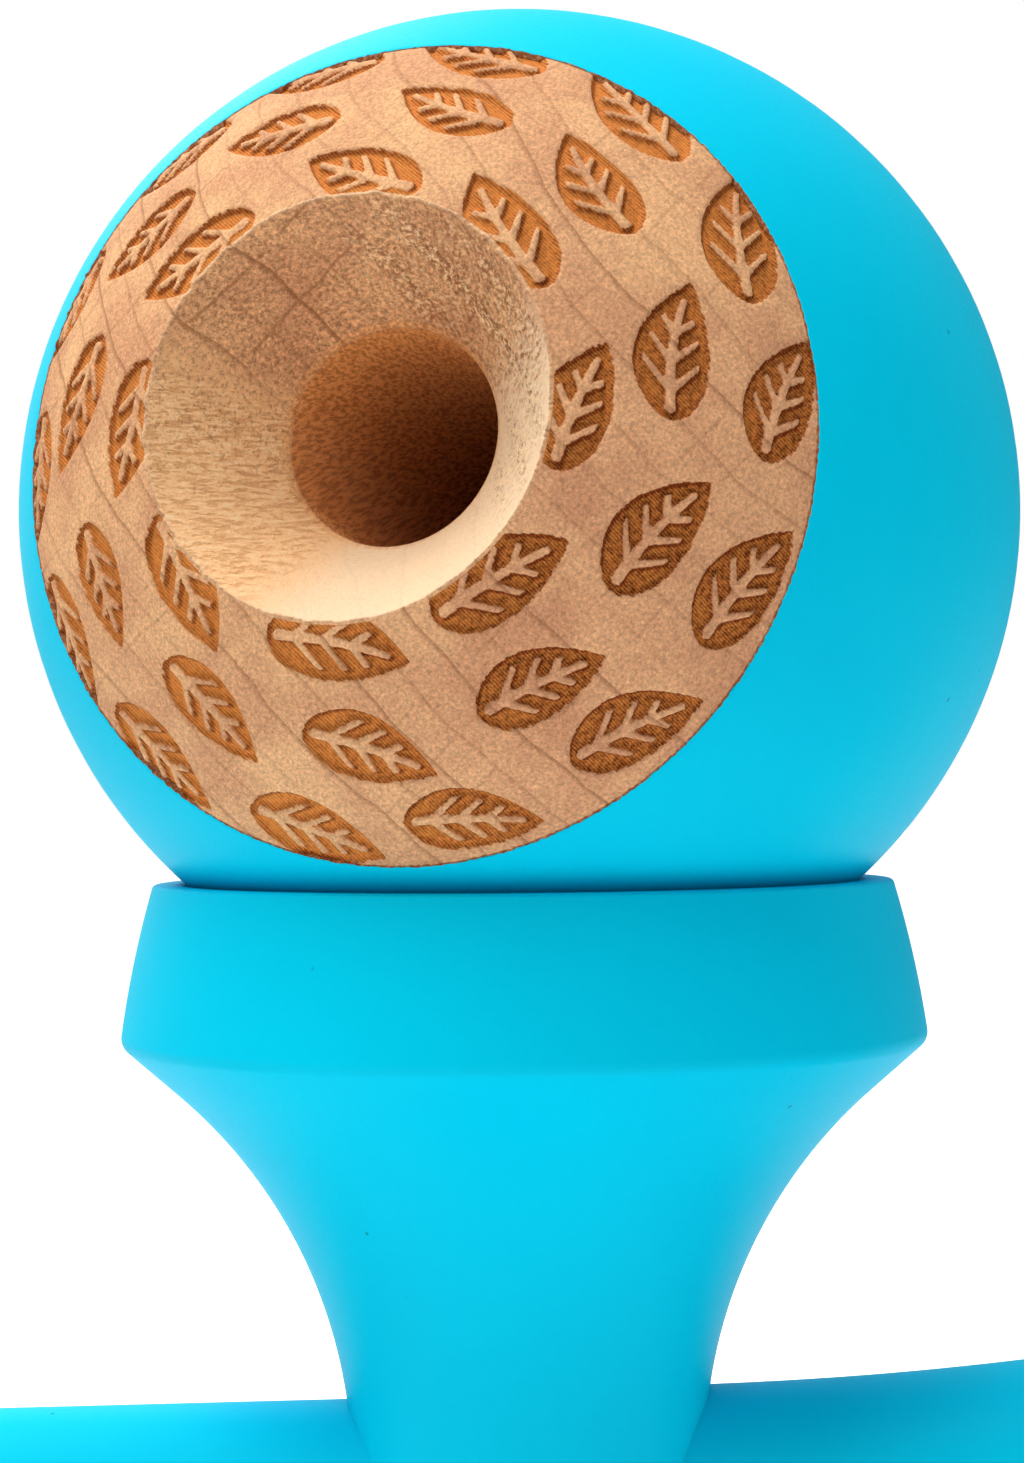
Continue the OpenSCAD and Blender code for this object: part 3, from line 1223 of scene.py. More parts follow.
@dataclass(frozen=True)
class Cup:
    """A turned cup with a flared neck, a tapered band, a lip and a round bowl.

    Attributes:
        throat_r: Radius of the neck.
        throat_l: Length from the neck to the rim.
        rim_r: Outer radius at the rim.
        mouth_r: Radius of the mouth inside the lip.
        band_h: Height of the band below the rim.
        bowl_depth: Depth of the bowl.
        taper: Taper of the band.
        swell: How far the band swells over its straight line, as a share of its length.
        edge_round: Radius of the band's lower edge.
        flare_share: Share of the flare's turn that its arc takes.
        lip_round: Radius of the outside of the lip.
        seat_round: Radius of the inside of the lip.
    """

    throat_r: float
    throat_l: float
    rim_r: float
    mouth_r: float
    band_h: float
    bowl_depth: float
    taper: float = math.radians(12)
    swell: float = 0.019
    edge_round: float = 1.0
    flare_share: float = 0.87
    lip_round: float = 0.3
    seat_round: float = 0.5

    # Steps along each stretch of the outline
    flare_steps = 36
    cone_steps = 6
    band_steps = 12
    lip_steps = 8
    bowl_steps = 28

    def outline(self) -> List[Point]:
        """Draws the cup from its neck round the lip to the middle of the bowl.

        Returns:
            Points as radius and height over the neck.
        """
        rim = Vector((self.rim_r, self.throat_l))
        edge = rim + Vector((math.tan(self.taper), -1.0)) * self.band_h
        band_l = (edge - rim).length
        swell = band_l * self.swell
        band_r = band_l ** 2 / (8 * swell) + swell / 2
        band = (rim + edge) / 2 - Vector((math.cos(self.taper), math.sin(self.taper))) * (band_r - swell)
        spread = edge.x - self.throat_r
        lean = self.flare_share * 2 * math.atan(spread / edge.y)
        cone = Vector((math.sin(lean), math.cos(lean)))
        flare_r = (edge.y * cone.x - spread * cone.y) / (1 - cone.y)
        flare = Vector((self.throat_r + flare_r, 0.0))
        start = edge + Vector((-cone.y, cone.x)) * self.edge_round - band
        reach = (band_r - self.edge_round) ** 2
        run = math.sqrt(start.dot(cone) ** 2 - start.dot(start) + reach) - start.dot(cone)
        edge_c = band + start + run * cone
        band_start = math.atan2(edge_c.y - band.y, edge_c.x - band.x)
        lip_y = self.throat_l - self.lip_round
        lip_x = band.x + math.sqrt((band_r - self.lip_round) ** 2 - (lip_y - band.y) ** 2)
        band_end = math.atan2(lip_y - band.y, lip_x - band.x)
        seat_c = (self.mouth_r + self.seat_round, self.throat_l - self.seat_round)
        sink = self.bowl_depth - self.seat_round
        bowl_r = (seat_c[0] ** 2 + sink ** 2 - self.seat_round ** 2) / (2 * self.bowl_depth)
        bowl = (0.0, self.throat_l - self.bowl_depth + bowl_r)
        bowl_start = math.atan2(bowl[1] - seat_c[1], -seat_c[0])
        points = arc(flare, flare_r, math.pi, math.pi - lean, self.flare_steps)
        corner = arc(edge_c, self.edge_round, -lean, band_start, self.band_steps)
        points += straight(points[-1], corner[0], self.cone_steps)[1:-1] + corner
        points += arc(band, band_r, band_start, band_end, self.band_steps)[1:]
        points += arc((lip_x, lip_y), self.lip_round, band_end, math.pi / 2, self.lip_steps)[1:]
        points += arc(seat_c, self.seat_round, math.pi / 2, bowl_start, self.lip_steps)
        points += arc(bowl, bowl_r, bowl_start - math.pi, -math.pi / 2, self.bowl_steps)[1:-1]
        return points + [(0.0, self.throat_l - self.bowl_depth)]


@dataclass
class Handle:
    """The turned handle: spike, tapered seat, grip and base cup.

    Attributes:
        axis_z: Height of its axis.
        spike_l: Length of the spike from the crosspiece's axis.
        nose_l: Length of the spike's rounded end.
        root_r: Radius at the root of the spike.
        spike_taper: Taper of the spike.
        seat_half: Half the length of the seat in the crosspiece.
        seat_taper: Taper of the seat.
        belly_l: Distance of the belly along the handle.
        belly_r: Radius of the belly.
        waist_l: Distance of the waist along the handle.
        waist_r: Radius of the waist.
        string_r: Radius of the hole for the string.
        base: The base cup.
        pull: How far a curve keeps its first and last direction.
        blunt: Blunt width of the tip, as a share of the nose's width.
        count: Points round the piece.
    """

    axis_z: float = 36.0
    spike_l: float = 57.274
    nose_l: float = 13.0
    root_r: float = 5.95
    spike_taper: float = math.radians(0.8)
    seat_half: float = 11.65
    seat_taper: float = math.radians(1.6)
    belly_l: float = 64.0
    belly_r: float = 10.3
    waist_l: float = 86.0
    waist_r: float = 8.6
    string_r: float = 1.6
    base: Cup = Cup(8.6, 19.0, 18.7, 16.6, 6.6, 10.5)
    pull: float = 0.45
    blunt: float = 0.5
    count: int = 160

    # Steps along each stretch of the outline
    nose_steps = 32
    spike_steps = 14
    seat_steps = 8
    grip_steps = 36
    tuck_steps = 24

    def lathe(self) -> Lathe:
        """Gives the lathe that lies along the handle."""
        return Lathe(Vector((0, 0, self.axis_z)), Vector((0, 1, 0)), Vector((1, 0, 0)))

    def seat_radius(self, distance: float) -> float:
        """Radius of the seat at a distance along the handle."""
        return self.root_r + (distance + self.seat_half) * math.tan(self.seat_taper)

    def outline(self) -> List[Point]:
        """Draws the handle from the tip of the spike to the base cup.

        Returns:
            Points as radius and distance along the handle.
        """
        nose_start = self.spike_l - self.nose_l
        nose_r = self.root_r - (nose_start - self.seat_half) * math.tan(self.spike_taper)
        grip_r = self.seat_radius(self.seat_half)
        nose_pull = self.nose_l * self.pull
        grip_pull = (self.belly_l - self.seat_half) * self.pull
        tuck_pull = (self.waist_l - self.belly_l) * self.pull
        nose = curve(
            (0.0, -self.spike_l),
            (nose_r * self.blunt, -self.spike_l),
            (nose_r - nose_pull * math.tan(self.spike_taper), -nose_start - nose_pull),
            (nose_r, -nose_start), self.nose_steps)
        grip = curve(
            (grip_r, self.seat_half),
            (grip_r + grip_pull * math.tan(self.seat_taper), self.seat_half + grip_pull),
            (self.belly_r, self.belly_l - grip_pull),
            (self.belly_r, self.belly_l), self.grip_steps)
        tuck = curve(
            (self.belly_r, self.belly_l),
            (self.belly_r, self.belly_l + tuck_pull),
            (self.waist_r, self.waist_l - tuck_pull),
            (self.waist_r, self.waist_l), self.tuck_steps)
        root = (self.root_r, -self.seat_half)
        points = nose + straight(nose[-1], root, self.spike_steps)[1:]
        points += straight(root, grip[0], self.seat_steps)[1:-1] + grip + tuck[1:]
        return points + [(r, self.waist_l + h) for r, h in self.base.outline()[1:]]

    def build(self) -> None:
        """Turns the handle, drills its string hole and paints it."""
        piece = self.lathe().turn("turned_handle", self.outline(), self.count)
        drill_string_hole(piece, self.axis_z, self.string_r, 4 * self.waist_r)
        dress(piece, Body.ROOT, "handle", Slot.HANDLE, Paint("handle_paint").material())


@dataclass
class Crosspiece:
    """The turned crosspiece with a big cup above and a small cup below.

    Attributes:
        axis_z: Height of the handle's axis.
        barrel_half: Straight length of the barrel on each side of that axis.
        big: The big cup.
        small: The small cup.
        play: Play round the handle.
        string_r: Radius of the hole for the string.
        count: Points round the piece.
    """

    axis_z: float = 36.0
    barrel_half: float = 2.1
    big: Cup = Cup(10.65, 35.1, 22.25, 20.2, 9.5, 13.0)
    small: Cup = Cup(10.65, 33.9, 20.5, 18.4, 8.8, 12.0)
    play: float = 0.02
    string_r: float = 1.25
    count: int = 256

    # Steps along the barrel
    barrel_steps = 4

    def outline(self) -> List[Point]:
        """Draws the crosspiece from the small cup's bowl to the big cup's bowl.

        Returns:
            Points as radius and height over the handle's axis.
        """
        small = [(r, -self.barrel_half - h) for r, h in self.small.outline()]
        big = [(r, self.barrel_half + h) for r, h in self.big.outline()]
        return small[::-1] + straight(small[0], big[0], self.barrel_steps)[1:-1] + big

    def build(self, handle: Handle) -> None:
        """Turns the crosspiece, bores it for the handle and the string, and paints it.

        Args:
            handle: The handle that passes through it.
        """
        upright = Lathe(Vector((0, 0, self.axis_z)), Vector((1, 0, 0)), Vector((0, 0, 1)))
        piece = upright.turn("turned_crosspiece", self.outline(), self.count)
        half = handle.seat_half
        seat = [(handle.seat_radius(x) + self.play, x) for x in (-half, half)]
        seat = [(0.0, -half), *seat, (0.0, half)]
        carve(piece, handle.lathe().turn("seat_reamer", seat, handle.count))
        drill_string_hole(piece, self.axis_z, self.string_r, 2 * self.big.throat_r)
        dress(piece, Body.ROOT, "crosspiece", Slot.CROSSPIECE, Paint("crosspiece_paint").material())


@dataclass(frozen=True)
class Leaf:
    """One engraved leaf.

    Attributes:
        middle: Direction of its middle from the ball's centre.
        along: Direction from its stalk to its tip.
        half_l: Half its length.
        half_w: Half its width.
        bend: How far its rib bows, as a share of half its length.
    """

    middle: np.ndarray
    along: np.ndarray
    half_l: float
    half_w: float
    bend: float

    # Outline: where it is widest, how blunt its stalk end is, and how its slope is measured
    widest = 0.4
    base_power = 0.62
    tiny = 1e-4
    step = 0.01
    steepest = 3.0

    # Rib and side veins, with the plain wood left along the outline
    rib_from = 0.05
    rib_to = 0.86
    rib_half = 0.24
    rib_taper = Slope(1.15, -0.7)
    vein_half = 0.12
    vein_taper = Slope(1.25, -0.22)
    vein_reach = 3.0
    vein_starts = (0.2, 0.4, 0.6)
    vein_angle = math.radians(44)
    margin = 0.62

    def width(self, share: np.ndarray) -> np.ndarray:
        """Measures half the width along the leaf.

        Args:
            share: Shares of the way from the stalk to the tip.

        Returns:
            Half the width at each of them.
        """
        t = np.clip(share, self.tiny, 1 - self.tiny)
        tip_power = self.base_power * (1 - self.widest) / self.widest
        stalk = (t / self.widest) ** self.base_power
        return self.half_w * stalk * ((1 - t) / (1 - self.widest)) ** tip_power

    def measure(self, directions: np.ndarray, radius: float) -> Tuple[np.ndarray, np.ndarray]:
        """Measures how far points lie inside the leaf and inside its raised veins.

        Args:
            directions: Directions of the points from the ball's centre.
            radius: Radius of the ball.

        Returns:
            Distances inside the leaf and inside the veins, below 0 outside them.
        """
        ahead = directions @ self.middle
        x = radius * (directions @ self.along) / ahead
        y = radius * (directions @ np.cross(self.middle, self.along)) / ahead
        share = (x / self.half_l + 1) / 2
        held = np.clip(share, 0.0, 1.0)
        off = np.abs(y - self.bend * self.half_l * np.sin(math.pi * held))
        slope = self.width(held + self.step) - self.width(held - self.step)
        slope = np.clip(slope / (4 * self.step * self.half_l), -self.steepest, self.steepest)
        inside = (self.width(held) - off) / np.sqrt(1 + slope ** 2)
        beyond = np.abs(share - held) * 2 * self.half_l
        inside = np.where(beyond > 0, -np.hypot(beyond, off), inside)
        veins = self.rib_half * self.rib_taper.at(held) - off
        ends = np.minimum(share - self.rib_from, self.rib_to - share)
        veins = np.minimum(veins, ends * 2 * self.half_l)
        for start in self.vein_starts:
            run = x - (2 * start - 1) * self.half_l
            along = run * math.cos(self.vein_angle) + off * math.sin(self.vein_angle)
            apart = np.abs(run * math.sin(self.vein_angle) - off * math.cos(self.vein_angle))
            half = self.vein_half * self.vein_taper.at(np.clip(along, 0, self.vein_reach))
            veins = np.maximum(veins, np.minimum(half - apart, along))
        return inside, np.minimum(veins, inside - self.margin)


@dataclass(frozen=True)
class LeafRing:
    """A ring of leaves round the ball's hole.

    Attributes:
        angle: Angle of the ring from the hole's axis.
        number: Number of leaves.
        phase: Turn of the first leaf, in leaves.
        lean: Lean of the leaves from the ring's own direction.
    """

    angle: float
    number: int
    phase: float
    lean: float = math.radians(18)


@dataclass
class Bead:
    """The turned bead that holds the string in the ball.

    Attributes:
        radius: Radius of the bead.
        hole_r: Radius of the hole through it.
        count: Points round the piece.
        steps: Steps along its outside.
        hole_steps: Steps along its hole.
    """

    radius: float = 4.5
    hole_r: float = 1.5
    count: int = 72
    steps: int = 28
    hole_steps: int = 6

    def build(self, lathe: Lathe, height: float) -> None:
        """Turns the bead in its place on the hole's axis.

        Args:
            lathe: Lathe along the hole of the ball.
            height: Place of the bead along it.
        """
        rim = math.acos(self.hole_r / self.radius)
        points = [(r, height + h) for r, h in arc((0.0, 0.0), self.radius, -rim, rim, self.steps)]
        points += straight(points[-1], points[0], self.hole_steps)[1:-1]
        piece = lathe.turn("wooden_bead", points, self.count, looped=True)
        dress(piece, Body.BEAD, "string_bead", Slot.BEAD, BareWood("bead_maple").material())


@dataclass
class Ball:
    """The ball: painted, with a bare engraved face round its bevelled hole.

    Attributes:
        radius: Radius of the ball.
        hole_r: Radius of the hole.
        bevel_r: Radius of the bevel's outer circle.
        bevel_depth: Depth of the bevel.
        back_wall: Wood left behind the hole.
        pocket_r: Radius of the bead's pocket.
        point_half: Half the angle of the drill's point.
        string_r: Radius of the string hole.
        turn: Turn of the hole's axis from the front.
        tilt: Tilt of the hole's axis above level.
        face_turn: Turn of the middle of the bare face from the front.
        face_tilt: Tilt of the middle of the bare face above level.
        face_angle: Angle from the middle of the bare face to the paint.
        coat: Thickness of the paint.
        ragged: How far the edge of the paint wanders.
        depth: Depth of the engraving.
        notch: Share of that depth that is left at the bevel.
        run_out: Distance from the bevel at which the engraving is at its full depth.
        leaf_half_l: Half the length of a usual leaf.
        leaf_half_w: Half the width of a usual leaf.
        scatter: How far the leaves differ in size.
        edge_round: Rounding of the bevel's outer edge.
        soft: Rounding of the hole's edge.
        nick: Usual size of the nicks in the bevel's outer edge.
        torn_at: Turn round the hole to the middle of the torn wood.
        torn_depth: Height of the torn chips.
        fine: Points round the bare face.
        face_rows: Rows across the bare face.
        bevel_rows: Rows across the bevel.
        paint_rows: Rows over the painted part.
        hole_rows: Rows along the hole.
        edge_rows: Rows across a rounded edge.
    """

    radius: float = 30.0
    hole_r: float = 6.15
    bevel_r: float = 11.7
    bevel_depth: float = 7.1
    back_wall: float = 16.0
    pocket_r: float = 4.7
    point_half: float = math.radians(59)
    string_r: float = 1.25
    turn: float = math.radians(21)
    tilt: float = math.radians(8.3)
    face_turn: float = math.radians(19.4)
    face_tilt: float = math.radians(6.8)
    face_angle: float = math.radians(50.37)
    coat: float = 0.06
    ragged: float = 0.035
    depth: float = 0.32
    notch: float = 0.35
    run_out: float = 0.9
    leaf_half_l: float = 4.0
    leaf_half_w: float = 2.15
    scatter: float = 0.06
    edge_round: float = 0.18
    soft: float = 0.4
    nick: float = 0.07
    torn_at: float = math.radians(30)
    torn_depth: float = 0.22
    fine: int = 720
    face_rows: int = 82
    bevel_rows: int = 42
    paint_rows: int = 40
    hole_rows: int = 16
    edge_rows: int = 4

    # Rings of leaves, how the leaves differ, and how steep the engraving's walls are
    leaf_rings = (
        LeafRing(math.radians(26), 8, 0.0),
        LeafRing(math.radians(37), 11, 0.35),
        LeafRing(math.radians(48), 14, 0.1),
    )
    spin_scatter = 0.05
    angle_scatter = 0.008
    lean_scatter = 0.12
    bows = (0.05, 0.14)
    leaf_reach = 1.5
    leaf_wall = (-0.04, 0.2)
    vein_wall = (-0.2, 0.02)

    # Edge of the paint: shares of the first rows, where rows get coarser, and its thin ragged rim
    rim_shares = (0.0, 0.002, 0.006, 0.014, 0.03)
    coarser_at = (4, 5)
    rim_thin = 0.35
    rim_ragged = (1.0, 0.6)

    # Torn wood on the bevel, and the share of the bevel from which its rows are finer
    finer_from = 0.6
    torn_patch = (0.1, 0.75)
    wave_scale = 2.6
    wave_depth = 0.012
    chip_scale = 5.0
    chip_shift = Vector((9, 0, 0))
    chip_wave = 0.4
    chip_least = 0.1

    def __post_init__(self) -> None:
        """Works out the places along the hole's axis and lays out the leaves."""
        low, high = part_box("ball")
        self.centre = Vector((0, 0, (low.z + high.z) / 2 / MM))
        self.bevel_top = math.sqrt(self.radius ** 2 - self.bevel_r ** 2)
        self.bevel_floor = self.bevel_top - self.bevel_depth
        self.hole_floor = self.back_wall - self.radius
        self.bead_at = self.hole_floor - self.pocket_r
        self.pocket_tip = self.bead_at - self.pocket_r / math.sin(self.point_half)
        self.mouth = self.aim(self.turn, self.tilt)
        self.face = self.aim(self.face_turn, self.face_tilt)
        self.right = self.mouth.cross(Vector((0, 0, 1))).normalized() * -1
        self.lathe = Lathe(self.centre, self.right, self.mouth)
        self.bare = self.radius - self.coat
        self.edge_angle = math.asin((self.bevel_r + self.edge_round) / self.radius)
        self.leaves = self.lay_leaves()

    @staticmethod
    def aim(turn: float, tilt: float) -> Vector:
        """Direction that is turned from the front towards the spike and tilted up."""
        return Vector((-math.sin(turn) * math.cos(tilt), -math.cos(turn) * math.cos(tilt), math.sin(tilt)))

    def lay_leaves(self) -> List[Leaf]:
        """Lays out the engraved leaves in rings round the hole.

        Returns:
            The leaves.
        """
        draw = np.random.default_rng(SEED)
        mouth = np.array(self.mouth)
        right = np.array(self.right)
        up = np.cross(mouth, right)
        made = []
        for ring in self.leaf_rings:
            for i in range(ring.number):
                shift = draw.uniform(-self.spin_scatter, self.spin_scatter)
                spin = TURN * (i + ring.phase + shift) / ring.number
                angle = ring.angle + draw.uniform(-self.angle_scatter, self.angle_scatter)
                outward = math.cos(spin) * right + math.sin(spin) * up
                middle = math.cos(angle) * mouth + math.sin(angle) * outward
                round_it = math.cos(spin) * up - math.sin(spin) * right
                away = np.cross(round_it, middle)
                lean = ring.lean + draw.uniform(-self.lean_scatter, self.lean_scatter)
                along = math.cos(lean) * round_it + math.sin(lean) * away
                grow = 1 + draw.uniform(-self.scatter, self.scatter)
                bow = draw.uniform(*self.bows)
                made.append(Leaf(middle, along, self.leaf_half_l * grow, self.leaf_half_w * grow, bow))
        return made

    def engrave(self, directions: np.ndarray) -> Tuple[np.ndarray, np.ndarray]:
        """Measures all leaves and veins at once.

        Args:
            directions: Directions of the points from the ball's centre.

        Returns:
            Distances inside the leaves and inside their veins.
        """
        inside = np.full(len(directions), -FAR)
        veins = np.full(len(directions), -FAR)
        for leaf in self.leaves:
            near = directions @ leaf.middle > math.cos(self.leaf_reach * leaf.half_l / self.radius)
            one, two = leaf.measure(directions[near], self.radius)
            closer = one > inside[near]
            veins[near] = np.where(closer, two, veins[near])
            inside[near] = np.where(closer, one, inside[near])
        return inside, veins

    def circle(self, axis: Vector, angle: float, radius: float, count: int) -> np.ndarray:
        """Places a circle on a sphere about the ball's centre.

        Args:
            axis: Axis of the circle.
            angle: Angle from the axis.
            radius: Radius of the sphere.
            count: Number of points.

        Returns:
            The points, in millimetres.
        """
        across = (self.right - axis * self.right.dot(axis)).normalized()
        lathe = Lathe(self.centre, across, axis)
        return lathe.ring(radius * math.sin(angle), radius * math.cos(angle), count)

    def build(self) -> None:
        """Builds the ball's skin row by row and dresses it."""
        skin = Skin()
        first = self.add_face(skin)
        self.add_paint(skin)
        self.add_hole(skin)
        self.add_bevel(skin)
        skin.join(len(skin.points) - 1, first, Coat.WOOD)
        piece = skin.piece("engraved_ball")
        finishes = (Paint("ball_paint").material(), self.wood().material())
        dress(piece, Body.BALL, "ball", Slot.BALL, *finishes)

    def wood(self) -> EngravedWood:
        """Gives the wood of the ball, which knows the ball's place and size."""
        return EngravedWood("engraved_maple", centre=tuple(self.centre), radius=self.bare)

    def put(self, skin: Skin, ring: np.ndarray, coat: Optional[Coat] = Coat.WOOD, sharp: bool = False,
            drilled: Depth = Depth.FACE, leaf: Level = -FAR, vein: Level = -FAR, brim: Level = FAR,
            torn: Level = 0.0) -> int:
        """Adds a ring with what it carries and joins it to the ring before it.

        Args:
            skin: Skin that is built.
            ring: The points, in millimetres.
            coat: Material of the band before the ring, or None for no band.
            sharp: Whether the ring is a crease.
            drilled: How deep the ring lies in the drilling.
            leaf: Distance inside the leaves.
            vein: Distance inside the veins.
            brim: Distance from the paint.
            torn: How much the cutter tore the wood.

        Returns:
            The number of the ring.
        """
        values = zip(Field, (leaf, vein, brim, drilled.value, torn))
        columns = {key: np.broadcast_to(value, len(ring)) for key, value in values}
        number = skin.add(ring, sharp, columns)
        if coat:
            skin.join(number - 1, number, coat)
        return number

    def sunk(self, directions: np.ndarray, leaf: np.ndarray, vein: np.ndarray) -> np.ndarray:
        """Depth of the engraving, which runs out towards the bevel.

        Args:
            directions: Directions of the points from the ball's centre.
            leaf: Distances inside the leaves.
            vein: Distances inside the veins.

        Returns:
            The depths, in millimetres.
        """
        from_bevel = (np.arccos(directions @ np.array(self.mouth)) - self.edge_angle) * self.radius
        whole = self.notch + (1 - self.notch) * smooth_step(0.0, self.run_out, from_bevel)
        floors = smooth_step(*self.leaf_wall, leaf)
        return self.depth * whole * floors * (1 - smooth_step(*self.vein_wall, vein))

    def add_face(self, skin: Skin) -> int:
        """Adds the bare face, from the bevel's edge to the paint.

        Args:
            skin: Skin that is built.

        Returns:
            The number of its first ring.
        """
        first = len(skin.points)
        for i in range(self.face_rows + 1):
            share = i / self.face_rows
            axis = self.mouth.lerp(self.face, share).normalized()
            angle = self.edge_angle + (self.face_angle - self.edge_angle) * share
            ring = self.circle(axis, angle, self.bare, self.fine)
            directions = (ring - np.array(self.centre)) / self.bare
            leaf, vein = self.engrave(directions)
            to_paint = self.face_angle - np.arccos(np.clip(directions @ np.array(self.face), -1, 1))
            ring = ring - directions * self.sunk(directions, leaf, vein)[:, None]
            coat = Coat.WOOD if i else None
            self.put(skin, ring, coat, leaf=leaf, vein=vein, brim=to_paint * self.radius)
        return first

    def add_paint(self, skin: Skin) -> None:
        """Adds the painted part, from the bare face to the string hole at the back.

        Args:
            skin: Skin that is built.
        """
        ragged = np.random.default_rng(SEED).normal(0, self.ragged, self.fine)
        count = self.fine
        back = math.pi - math.asin((self.string_r + self.edge_round) / self.radius)
        start = self.rim_shares[-1]
        rest = [start + (1 - start) * (i / self.paint_rows) for i in range(1, self.paint_rows + 1)]
        for i, share in enumerate([*self.rim_shares, *rest]):
            axis = self.face.lerp(self.mouth, share).normalized()
            angle = self.face_angle + (back - self.face_angle) * share
            if i in self.coarser_at:
                count //= 2
            height = self.radius if i else self.radius - self.coat * self.rim_thin
            ring = self.circle(axis, angle, height, count)
            if i < len(self.rim_ragged):
                spread = ring - np.array(self.centre + self.face * height * math.cos(angle))
                ring = ring + spread / height * ragged[:, None] * self.rim_ragged[i]
            self.put(skin, ring, Coat.PAINT if i else Coat.WOOD, brim=FAR if i else 0.0)

    def add_hole(self, skin: Skin) -> None:
        """Adds the string hole, the bead's pocket and the spike's hole, from the back.

        Args:
            skin: Skin that is built.
        """
        coarse = len(skin.points[-1])
        slope = math.tan(self.point_half)
        back = -math.sqrt(self.radius ** 2 - self.string_r ** 2)
        steps = [
            (self.string_r, back + self.edge_round),
            (self.string_r, self.pocket_tip + self.string_r / slope),
            (self.pocket_r, self.pocket_tip + self.pocket_r / slope),
            (self.pocket_r, self.hole_floor),
            (self.hole_r, self.hole_floor),
        ]
        for radius, height in steps:
            self.put(skin, self.lathe.ring(radius, height, coarse), sharp=True, drilled=Depth.HOLE)
        top = (self.hole_r, self.bevel_floor - self.soft)
        for radius, height in straight(steps[-1], top, self.hole_rows)[1:]:
            self.put(skin, self.lathe.ring(radius, height, coarse), drilled=Depth.HOLE)

    def add_bevel(self, skin: Skin) -> None:
        """Adds the bevel, from the soft edge of the hole to the edge of the face.

        Args:
            skin: Skin that is built.
        """
        lean = math.atan2(self.bevel_r - self.hole_r, self.bevel_depth)
        along = Vector((math.sin(lean), math.cos(lean)))
        inner = Vector((self.hole_r, self.bevel_floor)) + along * self.soft
        outer = Vector((self.bevel_r, self.bevel_top)) - along * self.edge_round
        hole_top = (self.hole_r, self.bevel_floor - self.soft)
        corner = (self.hole_r, self.bevel_floor)
        for radius, height in curve(hole_top, corner, corner, inner, self.edge_rows)[1:]:
            self.put(skin, self.lathe.ring(radius, height, self.fine // 2), drilled=Depth.MOUTH)
        edge = self.circle(self.mouth, self.edge_angle, self.bare, self.fine)
        directions = (edge - np.array(self.centre)) / self.bare
        notch = self.sunk(directions, *self.engrave(directions)) * math.cos(self.edge_angle) / math.cos(lean)
        notch = notch + np.maximum(np.random.default_rng(SEED).normal(0, self.nick, self.fine), 0)
        for i in range(1, self.bevel_rows + 1):
            share = i / self.bevel_rows
            count = self.fine if share > self.finer_from else self.fine // 2
            cut = notch[::self.fine // count] * share
            rough, torn = self.torn(inner.lerp(outer, share), share, count)
            run = share * (outer - inner).length - cut
            radius = inner.x + run * along.x - rough * along.y
            height = inner.y + run * along.y + rough * along.x
            self.put(skin, self.lathe.ring(radius, height, count), drilled=Depth.BEVEL, torn=torn)
        face_edge = (self.bare * math.sin(self.edge_angle), self.bare * math.cos(self.edge_angle))
        corner = (self.bevel_r, self.bevel_top)
        for radius, height in curve(outer, corner, corner, face_edge, self.edge_rows)[1:-1]:
            ring = self.lathe.ring(radius - notch * along.x, height - notch * along.y, self.fine)
            self.put(skin, ring, drilled=Depth.EDGE)

    def torn(self, at: Vector, share: float, count: int) -> Tuple[np.ndarray, np.ndarray]:
        """Roughness that the cutter left on the bevel, most where it met the grain end on.

        Args:
            at: Radius and height of the row.
            share: How far out on the bevel the row lies.
            count: Number of points in the row.

        Returns:
            Heights over the clean bevel, and how much the wood is torn.
        """
        places = [Vector(p) for p in self.lathe.ring(at.x, at.y, count)]
        angles = np.arange(count) * TURN / count
        patch = smooth_step(*self.torn_patch, np.cos(angles - self.torn_at))
        waves = np.array([noise.noise(p * self.wave_scale) for p in places])
        chips = np.array([noise.noise(p * self.chip_scale + self.chip_shift) for p in places])
        fade = math.sqrt(math.sin(math.pi * share))
        chipped = self.torn_depth * np.maximum(chips + self.chip_wave * waves - self.chip_least, 0)
        return fade * (self.wave_depth * waves + patch * chipped), fade * patch


@dataclass(frozen=True)
class Panel:
    """A soft light panel that faces the toy.

    Attributes:
        name: Name of the light.
        place: Place of its middle, in millimetres.
        size: Side of the panel, in millimetres.
        watts: Power.
        colour: Colour of the light.
        mirrored: Whether the panel shows in reflections.
    """

    name: str
    place: Way
    size: float
    watts: float
    colour: Colour
    mirrored: bool = True

    def build(self, target: Vector) -> None:
        """Hangs the panel.

        Args:
            target: Point that it faces, in millimetres.
        """
        lamp = bpy.data.lights.new(self.name, "AREA")
        lamp.size = self.size * MM
        lamp.energy = self.watts
        lamp.color = self.colour
        held = show(self.name, lamp)
        held.location = Vector(self.place) * MM
        held.visible_glossy = self.mirrored
        held.rotation_euler = (target - Vector(self.place)).to_track_quat("-Z", "Y").to_euler()


